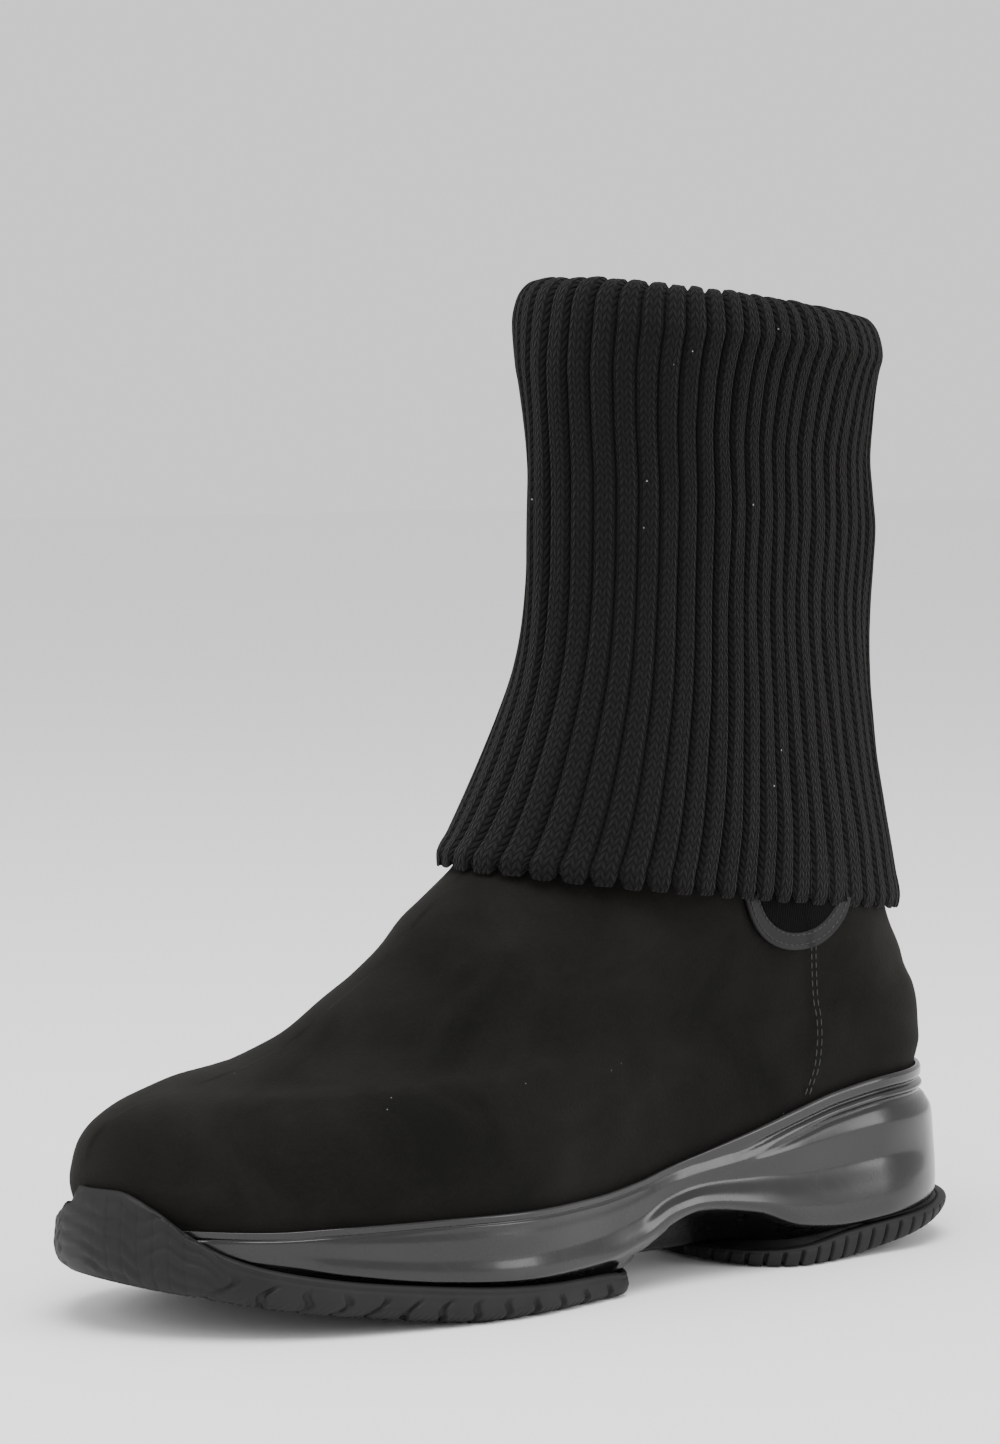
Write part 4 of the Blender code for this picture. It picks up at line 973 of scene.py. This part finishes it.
def makeGore(name, outer, look):
    radius = look["radius"] - look["width"] + 0.0004
    rows, columns = look["panelRows"], look["panelColumns"]
    rings = []
    for lift in (0.0, look["height"] * 0.45):
        for depth in np.linspace(0, 1, rows + 1):
            turn = math.radians(-90 + 88 * depth)
            width, z = radius * math.cos(turn), look["z"] + radius * math.sin(turn)
            rings.append([onSuede(look["x"] + width * share, z, outer, look["gap"] + lift)
                          for share in np.linspace(-1, 1, columns + 1)])

    def at(layer, i, j):
        return (layer * (rows + 1) + i) * (columns + 1) + j

    faces = []
    for i in range(rows):
        for j in range(columns):
            faces.append((at(1, i, j), at(1, i, j + 1), at(1, i + 1, j + 1), at(1, i + 1, j)))
            faces.append((at(0, i, j), at(0, i + 1, j), at(0, i + 1, j + 1), at(0, i, j + 1)))
    for i in range(rows):
        for j in (0, columns):
            faces.append((at(0, i, j), at(0, i + 1, j), at(1, i + 1, j), at(1, i, j)))
    for j in range(columns):
        for i in (0, rows):
            faces.append((at(0, i, j), at(0, i, j + 1), at(1, i, j + 1), at(1, i, j)))
    piece = meshFrom(name, np.array(rings).reshape(-1, 3), faces)
    fixed = bmesh.new()
    fixed.from_mesh(piece.data)
    bmesh.ops.recalc_face_normals(fixed, faces=fixed.faces)
    fixed.to_mesh(piece.data)
    fixed.free()
    return piece


for word, outer in (("outer", 1), ("inner", -1)):
    finishPiece(makeTrim("trim_" + word, outer, goreLook), leather, ["gore_trim_" + word])
    finishPiece(makeGore("gore_panel_" + word, outer, goreLook), elastic, ["gore_" + word])
print("gores made")


# Stitches: Geometry Nodes walk a path on the suede and lay a short thread at each step
stitchLook = dict(pitch=0.0026, stitch=0.0021, thick=0.00042, gap=0.0016)


def stitchTree():
    tree = bpy.data.node_groups.new("stitchRow", "GeometryNodeTree")
    tree.interface.new_socket("Geometry", in_out="INPUT", socket_type="NodeSocketGeometry")
    for name, value in (("Pitch", 0.0026), ("Stitch", 0.0021), ("Thick", 0.0004)):
        tree.interface.new_socket(name, in_out="INPUT", socket_type="NodeSocketFloat").default_value = value
    tree.interface.new_socket("Thread", in_out="INPUT", socket_type="NodeSocketMaterial")
    tree.interface.new_socket("Geometry", in_out="OUTPUT", socket_type="NodeSocketGeometry")
    given = addNode(tree, "NodeGroupInput")
    path = addNode(tree, "GeometryNodeMeshToCurve", links={0: given.outputs["Geometry"]})
    points = addNode(tree, "GeometryNodeResampleCurve", {"mode": "LENGTH"},
                     {"Curve": path.outputs[0], "Length": given.outputs["Pitch"]})
    ball = addNode(tree, "GeometryNodeMeshIcoSphere", {"Radius": 0.5, "Subdivisions": 2})
    tangent = addNode(tree, "GeometryNodeInputTangent")
    turned = addNode(tree, "FunctionNodeAlignRotationToVector", {"axis": "X"}, {"Vector": tangent.outputs[0]})
    size = addNode(tree, "ShaderNodeCombineXYZ", links={0: given.outputs["Stitch"], 1: given.outputs["Thick"],
                                                        2: given.outputs["Thick"]})
    laid = addNode(tree, "GeometryNodeInstanceOnPoints", links={
        "Points": points.outputs[0], "Instance": ball.outputs[0], "Rotation": turned.outputs[0],
        "Scale": size.outputs[0]})
    real = addNode(tree, "GeometryNodeRealizeInstances", links={0: laid.outputs[0]})
    dyed = addNode(tree, "GeometryNodeSetMaterial", links={"Geometry": real.outputs[0],
                                                           "Material": given.outputs["Thread"]})
    addNode(tree, "NodeGroupOutput", links={0: dyed.outputs[0]})
    return tree


stitchRows = stitchTree()


def sewRow(name, points, look):
    mesh = bpy.data.meshes.new(name)
    mesh.from_pydata((np.array(points) + place).tolist(), [(i, i + 1) for i in range(len(points) - 1)], [])
    carrier = bpy.data.objects.new(name, mesh)
    bpy.context.scene.collection.objects.link(carrier)
    sewn = carrier.modifiers.new("stitches", "NODES")
    sewn.node_group = stitchRows
    values = {"Pitch": look["pitch"], "Stitch": look["stitch"], "Thick": look["thick"], "Thread": thread}
    for item in stitchRows.interface.items_tree:
        if item.in_out == "INPUT" and item.name in values:
            sewn[item.identifier] = values[item.name]
    evaluated = carrier.evaluated_get(bpy.context.evaluated_depsgraph_get())
    made = bpy.data.meshes.new_from_object(evaluated)
    bpy.data.objects.remove(carrier, do_unlink=True)
    made.shade_smooth()
    piece = bpy.data.objects.new(name, made)
    bpy.context.scene.collection.objects.link(piece)
    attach(piece, "root")
    return piece


for word, outer in (("outer", 1), ("inner", -1)):
    heights = np.linspace(0.0475, 0.0870, 30)
    for k in (0, 1):
        back = 0.0012 + k * stitchLook["gap"]
        row = [onSuede(float(seamLine(z)) - back, z, outer, 0.00008) for z in heights]
        sewRow("seam_stitches_%s_%d" % (word, k), row, stitchLook)
    for k, share in ((0, 0.34), (1, 0.86)):
        radius = goreLook["radius"] - goreLook["width"] * share
        turns = np.radians(np.linspace(-176, -4, 60))
        sewRow("trim_stitches_%s_%d" % (word, k),
               [onSuede(goreLook["x"] + radius * math.cos(t), goreLook["z"] + radius * math.sin(t), outer,
                        goreLook["gap"] + goreLook["height"] * 0.92) for t in turns],
               dict(stitchLook, pitch=0.0019, stitch=0.0015, thick=0.00036))
print("stitches sewn")

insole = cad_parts["insole"]
insole.data.materials.clear()
insole.data.materials.append(lining)

# Floor, light and the photograph's camera
floorMesh = bpy.data.meshes.new("floor")
floorMesh.from_pydata([(-6, -6, 0), (6, -6, 0), (6, 6, 0), (-6, 6, 0)], [], [(0, 1, 2, 3)])
floor = bpy.data.objects.new("floor", floorMesh)
bpy.context.scene.collection.objects.link(floor)
paper, tree, shader = newMaterial("paleFloor", {"Base Color": linear("fafafa"), "Roughness": 0.9})
floorMesh.materials.append(paper)

world = bpy.data.worlds.new("studio")
bpy.context.scene.world = world
world.use_nodes = True
world.node_tree.nodes["Background"].inputs[0].default_value = (1, 1, 1, 1)
world.node_tree.nodes["Background"].inputs[1].default_value = 1.05


def softbox(name, at, towards, width, height, watts):
    data = bpy.data.lights.new(name, "AREA")
    data.shape = "RECTANGLE"
    data.size, data.size_y, data.energy = width, height, watts
    made = bpy.data.objects.new(name, data)
    made.location = at
    made.rotation_euler = (Vector(towards) - Vector(at)).to_track_quat("-Z", "Y").to_euler()
    bpy.context.scene.collection.objects.link(made)


softbox("topBox", (0.3, 0.5, 1.7), (0, 0, 0.1), 1.2, 1.2, 34)
softbox("sideBox", (-1.1, 1.4, 0.7), (0, 0, 0.08), 0.5, 1.2, 12)
softbox("frontBox", (1.6, -0.2, 0.8), (0, 0, 0.1), 0.6, 1.2, 9)

photo = dict(width=1000, height=1444, focal=4653, centre=(550.6, 718.3))      # in the photo's pixels
cameraData = bpy.data.cameras.new("photoCamera")
cameraData.sensor_width = 36.0
cameraData.lens = photo["focal"] / photo["height"] * cameraData.sensor_width
cameraData.shift_x = -(photo["centre"][0] - photo["width"] / 2) / photo["height"]
cameraData.shift_y = (photo["centre"][1] - photo["height"] / 2) / photo["height"]
cameraData.clip_start = 0.05
camera = bpy.data.objects.new("photoCamera", cameraData)
camera.location = Vector((0.8628, 1.0086, 0.2412)) + Vector(place)
aim = Vector((0.1300, 0.0, 0.1500)) + Vector(place)
camera.rotation_euler = (aim - camera.location).to_track_quat("-Z", "Y").to_euler()
bpy.context.scene.collection.objects.link(camera)
bpy.context.scene.camera = camera
print("stage set")
